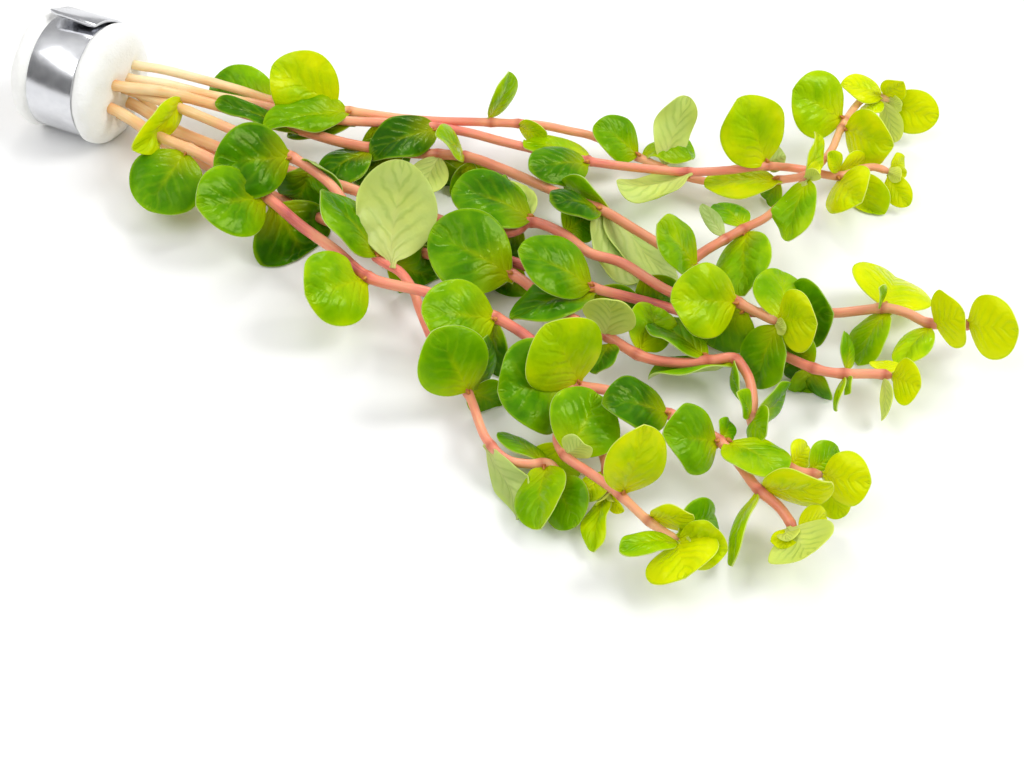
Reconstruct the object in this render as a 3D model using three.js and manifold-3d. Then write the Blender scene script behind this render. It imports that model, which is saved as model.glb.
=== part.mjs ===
// A bunch of dwarf rotala lying on its side: cut stems held at one end by a wad of foam and a soft
// metal strip, fanning out over a surface, with opposite pairs of nearly round leaves.
// Millimetres, +Z up. +X runs along the bunch from the cut ends to the tips. The origin is on the
// surface that the bunch rests on, under the middle of the foam.
import * as THREE from "three";
import { mergeVertices } from "three/addons/utils/BufferGeometryUtils.js";
import Module from "manifold-3d";

const wasm = await Module();
wasm.setup();

// Driving sizes in mm
const COLLAR_AXIS = 11.6; // height of the foam's middle line, with the strip pressed flat below it
const FOAM_HALF = 10.2; // half the length of the foam at its rims
const FOAM_BULGE = 0.8; // how far its end faces swell out round the stems
const FOAM_RADIUS = 12.7; // where it swells out beside the strip
const FOAM_WAIST = 11.1; // where the strip squeezes it
const FOAM_EDGE = [2.4, 2.2]; // rounding of its rims, along and inwards
const FOAM_CORE = 7; // the stems stand within this of the middle line
const FOAM_SIDES = 20;
const STRIP_WIDTH = 10.5;
const STRIP_RADIUS = 12; // outside of the strip
const STRIP_THICK = 0.6;
const STRIP_START = THREE.MathUtils.degToRad(20); // where its inner end lies, from the side
const STRIP_LAP = THREE.MathUtils.degToRad(66); // how far the free end laps past the start
const STRIP_FLARE = 1; // how far the free end stands off
const STRIP_STEPS = 34;
const CUT_END = -12; // the cut ends stand this far behind the foam's middle
const HELD = 4; // the stems are held straight this far to each side of the foam's middle
const STEM_RADIUS = 1.15;
const SHOOT_RADIUS = 0.95;
const STEM_SIDES = 6;
const STEM_STEP = 11; // one step along a stem
const LEAF_THICK = 0.6;
const LEAF_RIM = 10; // points round a leaf
const SMALL_RIM = 7;
const LEAF_TAPER = 0.12; // how much narrower a leaf is at its ends than a true oval
const ARCH = 1.4; // rise of a leaf's middle above its ends
const CUP = -0.9; // drop of its sides
const SEEK_STEPS = 300; // places tried along a stem for where a leaf grows
const GAP = 0.3; // between neighbouring pieces
const ROOTED = -GAP; // a leaf in one piece with its stem starts inside the stem
const FLAT = 0.09; // corners that stand out less than this are left off
const TOUCH = 0.003; // mm3 that two pieces may share before one is cut back
const FLOOR_CLEAR = LEAF_THICK / 2; // a leaf that reaches the surface is pressed flat on it

// The viewpoint from which places are given: pixels of a 1024 x 763 picture, and heights in mm
const VIEW = {
  focal: 2133.3,
  middle: [512, 381.5],
  distance: 400,
  elevation: THREE.MathUtils.degToRad(47),
  turn: THREE.MathUtils.degToRad(24),
  target: new THREE.Vector3(113, -33.2, 0),
};
VIEW.right = new THREE.Vector3(Math.cos(VIEW.turn), Math.sin(VIEW.turn), 0);
VIEW.ahead = new THREE.Vector3(-Math.sin(VIEW.turn), Math.cos(VIEW.turn), 0)
  .multiplyScalar(Math.cos(VIEW.elevation))
  .setZ(-Math.sin(VIEW.elevation));
VIEW.up = new THREE.Vector3().crossVectors(VIEW.right, VIEW.ahead);
VIEW.eye = VIEW.target.clone().addScaledVector(VIEW.ahead, -VIEW.distance);

// Direction from the viewpoint through a pixel
function sight(across, down) {
  return VIEW.ahead
    .clone()
    .addScaledVector(VIEW.right, (across - VIEW.middle[0]) / VIEW.focal)
    .addScaledVector(VIEW.up, (VIEW.middle[1] - down) / VIEW.focal)
    .normalize();
}

// The point at a height above the surface that is seen at a pixel
function seenAt(across, down, height) {
  const ray = sight(across, down);
  return VIEW.eye.clone().addScaledVector(ray, (height - VIEW.eye.z) / ray.z);
}

// The pixel at which a point is seen
function pixelOf(point) {
  const v = point.clone().sub(VIEW.eye);
  const depth = v.dot(VIEW.ahead);
  return [
    VIEW.middle[0] + (VIEW.focal * v.dot(VIEW.right)) / depth,
    VIEW.middle[1] - (VIEW.focal * v.dot(VIEW.up)) / depth,
  ];
}

// Stems. slot is the place in the foam, mm to the side and above the foam's middle line.
// route holds points as pixels across and down and height in mm.
const STEMS = {
  stem_1: {
    slot: [5.2, 2.3],
    route: [
      [160, 69, 13.8], [200, 79, 12.3], [240, 90, 11.5], [280, 103, 10.2], [310, 108, 9.8],
      [340, 110, 9.5], [400, 118, 8.5], [440, 121, 8.5], [480, 122, 9], [505, 123, 9], [540, 125, 8.5],
      [570, 131, 8], [592, 136, 6.5], [640, 158, 4], [690, 178, 3.5], [740, 184, 4.5], [778, 180, 6],
      [805, 175, 8.5], [828, 155, 9], [843, 125, 8], [862, 100, 8], [875, 96, 8], [883, 98, 8],
      [892, 101, 8],
    ],
  },
  stem_2: {
    slot: [2.4, 0.9],
    route: [
      [165, 84, 13.5], [200, 93, 12.5], [260, 105, 11.5], [300, 115, 10.5], [350, 121, 9.5],
      [400, 123, 9], [437, 127, 8.5], [470, 133, 8], [500, 141, 8], [525, 147, 8], [587, 161, 8],
      [640, 168, 8.5], [687, 172, 9], [730, 170, 9.5], [765, 166, 9.5], [800, 169, 6.5],
      [837, 176, 5.5], [872, 167, 6], [890, 172, 6],
    ],
  },
  stem_3: {
    slot: [-2.8, 2.9],
    route: [
      [165, 92, 14.5], [200, 101, 13], [240, 112, 11.5], [300, 130, 9.5], [345, 143, 7.8],
      [400, 152, 6.6], [468, 157, 7.5], [500, 168, 8], [540, 185, 8.5], [570, 198, 9], [602, 210, 9.5],
      [636, 230, 10], [670, 251, 10.5], [693, 266, 11], [715, 285, 11.5], [738, 302, 12],
      [779, 323, 12.5],
    ],
  },
  stem_4: {
    slot: [0.9, -4.6],
    route: [
      [172, 128, 8], [200, 140, 7.5], [260, 162, 7], [345, 187, 7], [420, 213, 7], [480, 232, 7.5],
      [512, 232, 8], [530, 222, 8], [560, 232, 8], [590, 253, 8], [620, 262, 8], [673, 293, 7.5],
      [740, 311, 6.5], [800, 312, 6.5], [835, 313, 7], [864, 310, 7.5], [886, 308, 8], [907, 313, 8],
      [928, 323, 8], [960, 325, 8], [975, 325, 8],
    ],
  },
  stem_5: {
    slot: [3.6, -3.6],
    route: [
      [175, 136, 4.5], [250, 168, 4], [340, 203, 4], [430, 236, 4.5], [520, 264, 5.5], [590, 287, 6.5],
      [670, 308, 5], [750, 335, 5], [765, 345, 5.2], [813, 368, 6.5], [836, 373, 7], [879, 374, 7],
      [893, 376, 7],
    ],
  },
  stem_6: {
    slot: [-2.9, -4.6],
    route: [
      [170, 147, 3], [240, 180, 2.5], [330, 222, 3], [420, 252, 4], [509, 273, 6], [541, 295, 6.5],
      [575, 320, 7], [605, 335, 7], [644, 357, 7], [682, 363, 7], [713, 360, 7], [733, 358, 7],
      [747, 374, 7], [753, 400, 7], [752, 422, 7], [761, 442, 7], [779, 462, 7], [800, 472, 7],
      [824, 475, 7],
    ],
  },
  stem_7: {
    slot: [-5.5, -1.2],
    route: [
      [160, 137, 10.5], [208, 158, 10], [268, 198, 9.5], [300, 225, 9.5], [335, 250, 9.5],
      [370, 278, 9.5], [423, 291, 9.5], [470, 305, 9], [497, 318, 8.5], [525, 335, 7], [548, 356, 6.5],
      [572, 383, 6.5], [610, 391, 6.5], [660, 411, 7], [683, 419, 7.5], [721, 442, 8], [740, 465, 8],
      [757, 488, 8], [780, 508, 7.5], [795, 530, 7],
    ],
  },
  stem_8: {
    slot: [-0.3, 0.2],
    route: [
      [185, 110, 13], [228, 128, 13], [292, 157, 13], [332, 186, 12], [356, 222, 10.5], [378, 258, 8],
      [400, 272, 6.2], [413, 290, 5], [420, 310, 4.8], [440, 355, 5.5], [468, 393, 6], [487, 440, 6],
      [508, 460, 6], [530, 464, 6], [550, 464, 6], [560, 478, 5.5],
    ],
  },
  side_shoot_1: {
    from: "stem_3",
    route: [
      [690, 262, 11], [705, 251, 10.5], [720, 242, 10], [745, 228, 9.5], [765, 218, 9], [785, 200, 9],
      [808, 178, 13.5],
    ],
  },
  side_shoot_2: {
    from: "stem_7",
    route: [
      [571, 386, 6.4], [568, 402, 6.5], [560, 425, 7], [558, 443, 8], [568, 458, 9], [590, 473, 9],
      [619, 494, 8.5], [645, 518, 8], [664, 532, 7.5], [679, 540, 7.5],
    ],
  },
  side_shoot_3: {
    from: "side_shoot_2",
    route: [
      [568, 410, 6.5], [585, 430, 5.5], [603, 455, 5], [607, 478, 4.8], [609, 496, 5],
    ],
  },
};

// Leaves. Each row: pixel on the stem where it grows, pixel of its tip, length and width in mm,
// near 1 where the tip comes towards the viewpoint and -1 where it goes away, roll in degrees out
// of facing the viewpoint, side 1 where the upper side shows and -1 where the underside does, age
// from 0 for the oldest to 1 for a tip leaf, then arch and cup in mm where they aren't the usual.
const LEAVES = {
  stem_1: [
    [272, 100, 211, 82, 15.5, 11, -1, 30, 1, 0.35],
    [338, 102, 271, 67, 16, 15, 1, 5, 1, 0.75],
    [349, 118, 262, 127, 19.5, 9.5, 1, 46, 1, 0.45],
    [638, 158, 595, 124, 12, 10.5, 1, 38, 1, 0.5],
    [663, 166, 691, 97, 15, 9, 1, 30, -1, 0.5],
    [778, 183, 704, 188, 14.8, 9.5, 1, 48, 1, 0.85],
    [846, 120, 789, 92, 14, 14.5, 1, 15, 1, 0.7],
    [843, 130, 891, 147, 13, 12.5, 1, 25, 1, 0.85],
  ],
  stem_2: [
    [437, 131, 369, 152, 15.5, 11.5, 1, 42, 1, 0.15],
    [590, 158, 523, 147, 14, 11, -1, 66, 1, 0.6],
    [586, 163, 528, 171, 14.5, 10.5, 1, 36, 1, 0.15],
    [687, 175, 617, 188, 14.5, 12, 1, 66, -1, 0.5],
    [768, 165, 736, 100, 15.5, 14.5, 1, 15, 1, 0.7],
    [838, 177, 860, 204, 12, 12, 1, 15, 1, 0.9],
  ],
  stem_3: [
    [607, 212, 566, 186, 13, 12, -1, -52, 1, 0.35],
    [600, 213, 550, 200, 13, 9.5, 1, 60, 1, 0.1],
    [596, 216, 636, 287, 18.5, 9.5, 1, -45, -1, 0.6],
    [602, 217, 678, 281, 18, 11, 1, -50, -1, 0.7],
    [702, 264, 654, 224, 14.5, 12.5, 1, 50, 1, 0.35],
    [739, 302, 671, 299, 14.5, 14.5, 1, 8, 1, 0.75],
    [744, 306, 706, 342, 12.5, 13, -1, -12, 1, 0.45],
  ],
  stem_4: [
    [530, 221, 452, 188, 16.5, 14.5, 1, 45, 1, 0.12],
    [788, 312, 834, 312, 13, 13.5, 1, 12, 1, 0.15],
    [887, 305, 896, 273, 13, 17, -1, 8, 1, 0.85],
  ],
  stem_5: [
    [594, 281, 516, 252, 16.5, 14.5, 1, 38, 1, 0.1],
    [594, 296, 510, 319, 18.5, 11.5, 1, 52, 1, 0.15],
  ],
  stem_6: [
    [514, 272, 429, 232, 18, 17, 1, 15, 1, 0.3],
    [706, 360, 643, 322, 15, 12, -1, 65, 1, 0.3],
  ],
  stem_7: [
    [188, 150, 147, 213, 16, 16.5, 1, 25, 1, 0.05],
    [268, 198, 197, 208, 16.5, 15.5, 1, 15, 1, 0.3],
    [272, 204, 310, 268, 15.5, 18, -1, -15, 1, 0],
    [368, 278, 303, 299, 15.5, 15.5, 1, 10, 1, 0.62],
    [498, 318, 419, 313, 16, 14.5, 1, 15, 1, 0.45],
    [578, 381, 547, 325, 15, 17, 1, 12, 1, 0.6],
    [568, 386, 497, 392, 15.5, 18.5, 1, 10, 1, 0.35],
    [670, 412, 604, 400, 14.5, 12, 1, 36, 1, 0.05],
    [719, 442, 667, 437, 13, 13, 1, 8, 1, 0.4],
    [729, 442, 783, 475, 13, 12, 1, -52, 1, 0.75],
  ],
  stem_8: [
    [291, 158, 213, 163, 17, 15.5, 1, 12, 1, 0.2],
    [377, 257, 318, 191, 17.5, 13, 1, 55, 1, 0.35],
    [388, 257, 406, 160, 19, 16.5, 1, 10, -1, 0.45],
    [468, 394, 435, 330, 15.5, 14.5, 1, 12, 1, 0.4],
    [546, 462, 540, 526, 14, 11, 1, 35, 1, 0.55],
  ],
  side_shoot_1: [
    [742, 231, 748, 296, 14.5, 13, 1, 30, 1, 0.35],
  ],
  side_shoot_2: [
    [563, 455, 598, 393, 14, 14.5, -1, 12, 1, 0.4],
    [622, 497, 645, 422, 16, 12, 1, 28, 1, 0.8],
  ],
};

// Young leaves, and leaves that others mostly hide, grown together with their stem
const SMALL_LEAVES = {
  stem_1: [
    [492, 118, 509, 71, 10, 9, -1, 62, 1, 0.6],
    [520, 121, 547, 135, 7, 6, 1, 45, 1, 0.75],
    [640, 160, 696, 151, 12, 9, -1, -50, 1, 0.5],
    [779, 183, 764, 204, 7, 7, -1, 30, 1, 0.4],
    [882, 95, 841, 83, 9.5, 8, 1, 45, 1, 0.9],
    [880, 97, 866, 113, 6, 5, 1, 30, 1, 0.9],
    [884, 98, 904, 83, 6.5, 6, 1, 30, 1, 1],
    [890, 100, 938, 120, 11, 10, 1, 20, 1, 1],
    [885, 102, 894, 143, 8.5, 6, 1, 40, -1, 0.8],
  ],
  stem_2: [
    [768, 165, 786, 155, 6, 6, -1, 20, -1, 0.5],
    [838, 176, 829, 152, 6, 5, 1, 45, 1, 0.85],
    [838, 177, 868, 160, 8, 7, -1, 30, 1, 1],
    [862, 174, 873, 223, 10.8, 10.5, 1, 30, 1, 0.75],
    [889, 172, 909, 206, 8, 6, 1, 20, 1, 1],
    [890, 171, 905, 158, 5, 5, -1, 40, 1, 1],
  ],
  stem_3: [
    [182, 96, 137, 151, 17, 8, 1, -40, 1, 0.8],
    [372, 150, 320, 180, 13, 11, 1, 50, 1, 0.05],
    [438, 154, 420, 192, 10.5, 8, 1, 10, -1, 0.7],
    [466, 156, 437, 134, 9.5, 10, 1, 62, 1, 0.6],
    [779, 323, 817, 322, 9.5, 12, 1, 10, 1, 0.9],
    [779, 321, 782, 271, 13, 12, -1, 20, 1, 0.55],
    [778, 324, 798, 374, 12, 10.5, -1, 12, 1, 0.5],
    [778, 326, 757, 386, 13, 12, -1, 40, 1, 0.3],
  ],
  stem_4: [
    [521, 230, 508, 176, 13, 8, -1, 50, 1, 0.45],
    [884, 309, 857, 366, 12, 10, 1, 50, 1, 0.5],
    [880, 308, 881, 288, 6, 5, 1, 70, 1, 0.6],
    [928, 326, 899, 367, 11, 8, 1, 45, 1, 0.7],
    [933, 325, 964, 316, 8, 12, 1, 15, 1, 1],
    [967, 325, 1018, 328, 12, 12.5, 1, 12, 1, 1],
  ],
  stem_5: [
    [813, 369, 806, 391, 8, 11, -1, 20, 1, 0.15],
    [846, 373, 846, 331, 8.5, 5.5, -1, 60, 1, 0.4],
    [845, 374, 837, 411, 8, 5, 1, 72, 1, 0.7],
    [847, 375, 850, 394, 5, 4, 1, 60, 1, 0.6],
    [893, 376, 921, 386, 7, 9, 1, 15, 1, 1],
    [886, 377, 885, 421, 9, 5, 1, 66, -1, 0.8],
    [886, 375, 884, 360, 5, 6, -1, 20, 1, 1],
  ],
  stem_6: [
    [606, 338, 611, 298, 12, 10.5, 1, -15, -1, 0.8],
    [612, 345, 595, 373, 8, 8, 1, 45, 1, 0.2],
    [636, 354, 655, 306, 12, 10, -1, 25, 1, 0.6],
    [733, 365, 647, 374, 16, 9, 1, 76, 1, 0.35],
    [735, 361, 743, 399, 9, 6, 1, 70, 1, 0.4],
    [752, 418, 740, 392, 6.5, 6, 1, 62, 1, 0.5],
    [755, 416, 765, 437, 8, 8, 1, 50, 1, 0.5],
    [757, 416, 789, 386, 11, 8.5, -1, 60, 1, 0.35],
    [786, 470, 806, 446, 6.5, 6, -1, 30, 1, 0.95],
    [812, 474, 838, 448, 7.5, 7.5, -1, 25, 1, 0.35],
    [824, 475, 872, 482, 10, 10, 1, 15, 1, 1],
    [826, 478, 846, 516, 8, 7, 1, 30, 1, 0.9],
  ],
  stem_7: [
    [496, 320, 492, 384, 13, 8.5, -1, 45, 1, 0.1],
    [722, 440, 731, 420, 5, 5, -1, 40, 1, 0.4],
    [757, 492, 731, 566, 15, 7, 1, 66, 1, 0.7],
    [760, 498, 832, 480, 14.5, 10, 1, 48, 1, 0.95],
    [795, 531, 808, 557, 8.5, 13, 1, 8, -1, 0.85],
    [796, 529, 826, 516, 6.5, 7, -1, 20, 1, 1],
    [793, 529, 783, 549, 5, 5.5, 1, 20, 1, 1],
  ],
  stem_8: [
    [296, 164, 343, 198, 12, 9, 1, 62, 1, 0.2],
    [471, 390, 492, 336, 12, 8, -1, 55, 1, 0.1],
    [492, 447, 518, 519, 15, 8, 1, 50, -1, 0.5],
    [543, 463, 500, 434, 12, 7, -1, 60, 1, 0.3],
    [558, 480, 580, 526, 10, 10, 1, 22, 1, 0.4],
  ],
  side_shoot_1: [
    [744, 228, 718, 203, 9, 8, -1, 45, 1, 0.4],
    [724, 240, 703, 203, 8, 5, -1, 50, -1, 0.2],
    [808, 179, 787, 242, 14, 9.5, 1, 42, 1, 0.5],
    [806, 181, 788, 202, 6, 4, 1, 30, -1, 0.9],
    [808, 177, 818, 133, 11, 7, -1, 68, 1, 0.85],
  ],
  side_shoot_2: [
    [566, 457, 584, 443, 6, 6, 1, 20, -1, 0.7],
    [680, 538, 619, 549, 12.5, 6, 1, 50, 1, 0.5],
    [678, 538, 716, 512, 11, 10, -1, 25, 1, 0.4],
    [650, 521, 694, 513, 9, 7, 1, 50, 1, 0.95],
    [678, 541, 688, 578, 9, 14, 1, 10, 1, 0.95],
    [680, 540, 726, 553, 9.5, 9, 1, 15, 1, 0.85],
  ],
  side_shoot_3: [
    [608, 494, 594, 553, 12, 6, 1, 45, 1, 0.75],
    [606, 474, 587, 501, 8, 6, 1, 30, 1, 0.8],
  ],
};

// Colours
const OLD_GREEN = new THREE.Color("#1f6a10");
const GREEN = new THREE.Color("#5aa600");
const LIME = new THREE.Color("#cfe000");
const STEM_COLOURS = ["#e0b488", "#ee9a80"];
const FOAM_COLOUR = "#f0f0ea";
const METAL_COLOUR = "#c9cacb";

// Solid of a closed mesh, with its position alone, less any face that shrank to a line
function solidOf(geometry) {
  const bare = geometry.clone();
  bare.deleteAttribute("normal");
  bare.deleteAttribute("uv");
  const merged = mergeVertices(bare, 1e-4);
  const corners = merged.index.array;
  const faces = [];
  for (let i = 0; i < corners.length; i += 3) {
    const [a, b, c] = [corners[i], corners[i + 1], corners[i + 2]];
    if (a !== b && b !== c && c !== a) faces.push(a, b, c);
  }
  return new wasm.Manifold(
    new wasm.Mesh({
      numProp: 3,
      vertProperties: merged.attributes.position.array,
      triVerts: new Uint32Array(faces),
    }),
  );
}

// The biggest body of a solid
function biggest(solid) {
  return solid.decompose().sort((a, b) => b.volume() - a.volume())[0];
}

function meshOf(name, solid, colour, roughness, metalness = 0) {
  const cut = biggest(solid.asOriginal().simplify(FLAT)).getMesh();
  const geometry = new THREE.BufferGeometry();
  geometry.setAttribute("position", new THREE.BufferAttribute(cut.vertProperties, 3));
  geometry.setIndex(new THREE.BufferAttribute(cut.triVerts, 1));
  const material = new THREE.MeshStandardMaterial({ color: colour, roughness, metalness });
  const mesh = new THREE.Mesh(geometry, material);
  mesh.name = name;
  return mesh;
}

// Foam: a round wad, squeezed by the strip and flat where it rests
function foamSolid() {
  const squeeze = STRIP_WIDTH / 2 + GAP;
  const [along, inwards] = FOAM_EDGE;
  const half = [
    [FOAM_WAIST, squeeze],
    [FOAM_RADIUS, squeeze + GAP],
    [FOAM_RADIUS, FOAM_HALF - along],
    [FOAM_RADIUS - inwards / 7, FOAM_HALF - along / 2],
    [FOAM_RADIUS - inwards, FOAM_HALF],
    [FOAM_CORE, FOAM_HALF + FOAM_BULGE],
    [0, FOAM_HALF + FOAM_BULGE],
  ];
  const mirrored = half.map(([r, x]) => [r, -x]).reverse();
  const outline = [...mirrored, ...half].map(([r, x]) => new THREE.Vector2(r, x));
  const wad = new THREE.LatheGeometry(outline, FOAM_SIDES);
  wad.rotateZ(-Math.PI / 2);
  wad.translate(0, 0, COLLAR_AXIS);
  const at = wad.attributes.position;
  for (let i = 0; i < at.count; i++) {
    const lowest = Math.abs(at.getX(i)) <= squeeze + 0.01 ? STRIP_THICK + GAP : 0;
    at.setZ(i, Math.max(at.getZ(i), lowest));
  }
  return solidOf(wad);
}

// Metal strip: bent once round the foam, its free end lapped over the start and lifted at the tip
function stripSolid() {
  const outer = [];
  const inner = [];
  const ramp = STRIP_LAP / 4; // the turn over which the free end climbs onto the start
  for (let i = 0; i <= STRIP_STEPS; i++) {
    const turned = (i / STRIP_STEPS) * (2 * Math.PI + STRIP_LAP);
    const angle = STRIP_START + turned;
    const lapped = Math.max(0, turned - 2 * Math.PI + ramp) / (STRIP_LAP + ramp);
    const climb = Math.min(1, (lapped * (STRIP_LAP + ramp)) / ramp);
    const lift = climb * (STRIP_THICK + GAP) + STRIP_FLARE * lapped ** 3;
    const reach = STRIP_RADIUS + lift;
    for (const [line, radius] of [[outer, reach], [inner, reach - STRIP_THICK]]) {
      const lowest = line === outer ? 0 : STRIP_THICK;
      const height = COLLAR_AXIS + radius * Math.sin(angle);
      line.push(new THREE.Vector2(radius * Math.cos(angle), Math.max(height, lowest)));
    }
  }
  const band = new THREE.ExtrudeGeometry(new THREE.Shape([...outer, ...inner.reverse()]), {
    depth: STRIP_WIDTH,
    bevelEnabled: false,
  });
  band.translate(0, 0, -STRIP_WIDTH / 2);
  band.applyMatrix4(new THREE.Matrix4().set(0, 0, 1, 0, 1, 0, 0, 0, 0, 1, 0, 0, 0, 0, 0, 1));
  return solidOf(band);
}

// Middle line of a stem or shoot
function stemCurve({ slot, route }) {
  const points = route.map(([across, down, height]) => seenAt(across, down, height));
  if (slot) {
    const [side, rise] = slot;
    const inFoam = [CUT_END, -HELD, HELD, FOAM_HALF + FOAM_BULGE];
    points.unshift(...inFoam.map((x) => new THREE.Vector3(x, side, COLLAR_AXIS + rise)));
  }
  return new THREE.CatmullRomCurve3(points, false, "centripetal");
}

// Tube along a curve
function stemSolid(curve, radius) {
  const ring = [];
  for (let i = 0; i < STEM_SIDES; i++) {
    const angle = (2 * Math.PI * i) / STEM_SIDES;
    ring.push(new THREE.Vector2(radius * Math.cos(angle), radius * Math.sin(angle)));
  }
  const steps = Math.round(curve.getLength() / STEM_STEP);
  const along = { steps, extrudePath: curve, bevelEnabled: false };
  return solidOf(new THREE.ExtrudeGeometry(new THREE.Shape(ring), along));
}

// Where a leaf grows, where its tip is, and the directions along, across and out of its blade
function leafFrame(row, curve, radius) {
  const [baseAcross, baseDown, tipAcross, tipDown, length, , near, roll, side] = row;
  let best = { off: Infinity };
  for (let i = 0; i <= SEEK_STEPS; i++) {
    const point = curve.getPointAt(i / SEEK_STEPS);
    const [across, down] = pixelOf(point);
    const off = Math.hypot(across - baseAcross, down - baseDown);
    if (off < best.off) best = { off, point, tangent: curve.getTangentAt(i / SEEK_STEPS) };
  }
  const ray = sight(tipAcross, tipDown);
  const toBase = best.point.clone().sub(VIEW.eye);
  const reach = toBase.dot(ray);
  const aside = Math.sqrt(Math.max(0, toBase.lengthSq() - reach * reach));
  const depth = Math.sqrt(Math.max(0, length * length - aside * aside));
  const tip = VIEW.eye.clone().addScaledVector(ray, reach - near * depth);
  const outward = tip.clone().sub(best.point);
  outward.addScaledVector(best.tangent, -outward.dot(best.tangent)).normalize();
  const base = best.point.clone().addScaledVector(outward, radius + GAP / 2);
  const along = tip.clone().sub(base).normalize();
  const facing = VIEW.eye.clone().sub(base);
  facing.addScaledVector(along, -facing.dot(along)).normalize();
  facing.applyAxisAngle(along, THREE.MathUtils.degToRad(roll)).multiplyScalar(side);
  const across = new THREE.Vector3().crossVectors(along, facing);
  return { base, along, across, facing, length: tip.distanceTo(base) };
}

// Leaf: a round plate, arched along its midrib, with its sides bent down, pressed flat on the surface
function leafSolid(row, curve, radius, rim, extra = 0) {
  const [, , , , , width, , , , , arch = ARCH, cup = CUP] = row;
  const { base, along, across, facing, length } = leafFrame(row, curve, radius);
  const plate = new THREE.CylinderGeometry(1, 1, 1, rim, 1, false, -Math.PI / 2); // a corner at its base
  const at = plate.attributes.position;
  const thick = LEAF_THICK + 2 * extra;
  for (let i = 0; i < at.count; i++) {
    const u = (1 + at.getX(i)) / 2;
    const v = at.getZ(i) * (1 - LEAF_TAPER * at.getX(i) ** 2);
    const point = base
      .clone()
      .addScaledVector(along, u * length + extra * at.getX(i))
      .addScaledVector(across, v * (width / 2 + extra))
      .addScaledVector(facing, arch * 4 * u * (1 - u) + cup * v * v);
    point.z = Math.max(point.z, FLOOR_CLEAR);
    point.addScaledVector(facing, thick * at.getY(i));
    at.setXYZ(i, point.x, point.y, point.z);
  }
  return solidOf(plate);
}

function leafColour(age) {
  return age < 0.5 ? OLD_GREEN.clone().lerp(GREEN, age * 2) : GREEN.clone().lerp(LIME, age * 2 - 1);
}

const bunch = new THREE.Group();
const placed = []; // what is in place, each with a grown copy that later pieces are cut back to

// A solid less everything in place that it would touch
function clearOf(solid, keep) {
  let cut = solid;
  for (const other of placed) {
    if (other.keep === keep) continue;
    if (cut.intersect(other.solid).volume() > TOUCH) cut = biggest(cut.subtract(other.grown));
  }
  return cut;
}

const curves = {};
const stems = {};
for (const [name, stem] of Object.entries(STEMS)) {
  curves[name] = stemCurve(stem);
  stem.radius = stem.slot ? STEM_RADIUS : SHOOT_RADIUS;
  stems[name] = clearOf(stemSolid(curves[name], stem.radius), name);
  placed.push({ keep: name, solid: stems[name], grown: stemSolid(curves[name], stem.radius + GAP) });
}

// The foam closes round the stems
const foam = placed.reduce((wad, { grown }) => wad.subtract(grown), foamSolid());
bunch.add(meshOf("foam_collar", foam, FOAM_COLOUR, 0.95));
bunch.add(meshOf("metal_strip", stripSolid(), METAL_COLOUR, 0.3, 1));

const leaves = [];
for (const [name, rows] of Object.entries(LEAVES)) {
  rows.forEach((row, i) => {
    const leafName = `${name}_leaf_${i + 1}`;
    const { radius } = STEMS[name];
    const solid = clearOf(leafSolid(row, curves[name], radius, LEAF_RIM), leafName);
    leaves.push(meshOf(leafName, solid, leafColour(row[9]), 0.35));
    placed.push({ keep: leafName, solid, grown: leafSolid(row, curves[name], radius, LEAF_RIM, GAP) });
  });
}

Object.keys(STEMS).forEach((name, i) => {
  for (const row of SMALL_LEAVES[name] ?? []) {
    const small = clearOf(leafSolid(row, curves[name], ROOTED, SMALL_RIM), name);
    stems[name] = stems[name].add(small);
    placed.push({ keep: name, solid: small, grown: leafSolid(row, curves[name], ROOTED, SMALL_RIM, GAP) });
  }
  bunch.add(meshOf(name, biggest(stems[name]), STEM_COLOURS[i % 2], 0.4));
});
bunch.add(...leaves);

export default bunch;
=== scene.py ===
# %% [markdown]
# # A bunch of dwarf rotala, ready to plant
# Dwarf rotala is an aquarium plant that shops sell as cut stems. A wad of white foam goes round
# the cut ends and a soft metal strip holds it, heavy enough to keep the bunch on the bottom. Here
# the bunch lies on its side, as it comes out of the water: green leaves in pairs, nearly round,
# on salmon stems.
#
# The CAD frame gives the sizes. This script dresses each of its nodes with a piece that has the
# real surface: blades with two faces and veins, stems with swollen joints, foam, and bent metal.

import math
import random

import bmesh
import bpy
import numpy as np
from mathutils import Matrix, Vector, noise
from mathutils.kdtree import KDTree


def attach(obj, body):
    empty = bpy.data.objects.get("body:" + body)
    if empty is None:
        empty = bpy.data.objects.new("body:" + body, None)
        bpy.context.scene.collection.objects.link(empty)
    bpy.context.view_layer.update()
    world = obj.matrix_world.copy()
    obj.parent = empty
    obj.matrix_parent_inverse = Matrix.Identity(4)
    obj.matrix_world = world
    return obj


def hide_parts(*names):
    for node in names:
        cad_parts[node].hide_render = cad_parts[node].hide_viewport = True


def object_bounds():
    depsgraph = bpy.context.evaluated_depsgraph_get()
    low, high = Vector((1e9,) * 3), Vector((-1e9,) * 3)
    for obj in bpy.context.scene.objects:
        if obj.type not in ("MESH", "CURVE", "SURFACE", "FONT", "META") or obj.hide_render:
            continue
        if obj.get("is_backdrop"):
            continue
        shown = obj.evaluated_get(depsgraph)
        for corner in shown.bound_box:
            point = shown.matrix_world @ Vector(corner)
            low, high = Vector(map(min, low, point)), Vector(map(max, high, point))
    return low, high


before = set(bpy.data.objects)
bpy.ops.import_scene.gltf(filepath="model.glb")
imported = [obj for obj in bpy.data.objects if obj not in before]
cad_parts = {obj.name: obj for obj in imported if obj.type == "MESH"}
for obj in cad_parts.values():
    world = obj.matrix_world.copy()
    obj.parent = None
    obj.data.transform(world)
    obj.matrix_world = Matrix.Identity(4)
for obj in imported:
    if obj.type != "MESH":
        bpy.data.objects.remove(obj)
cad_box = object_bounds()
MM = 0.001
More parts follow.
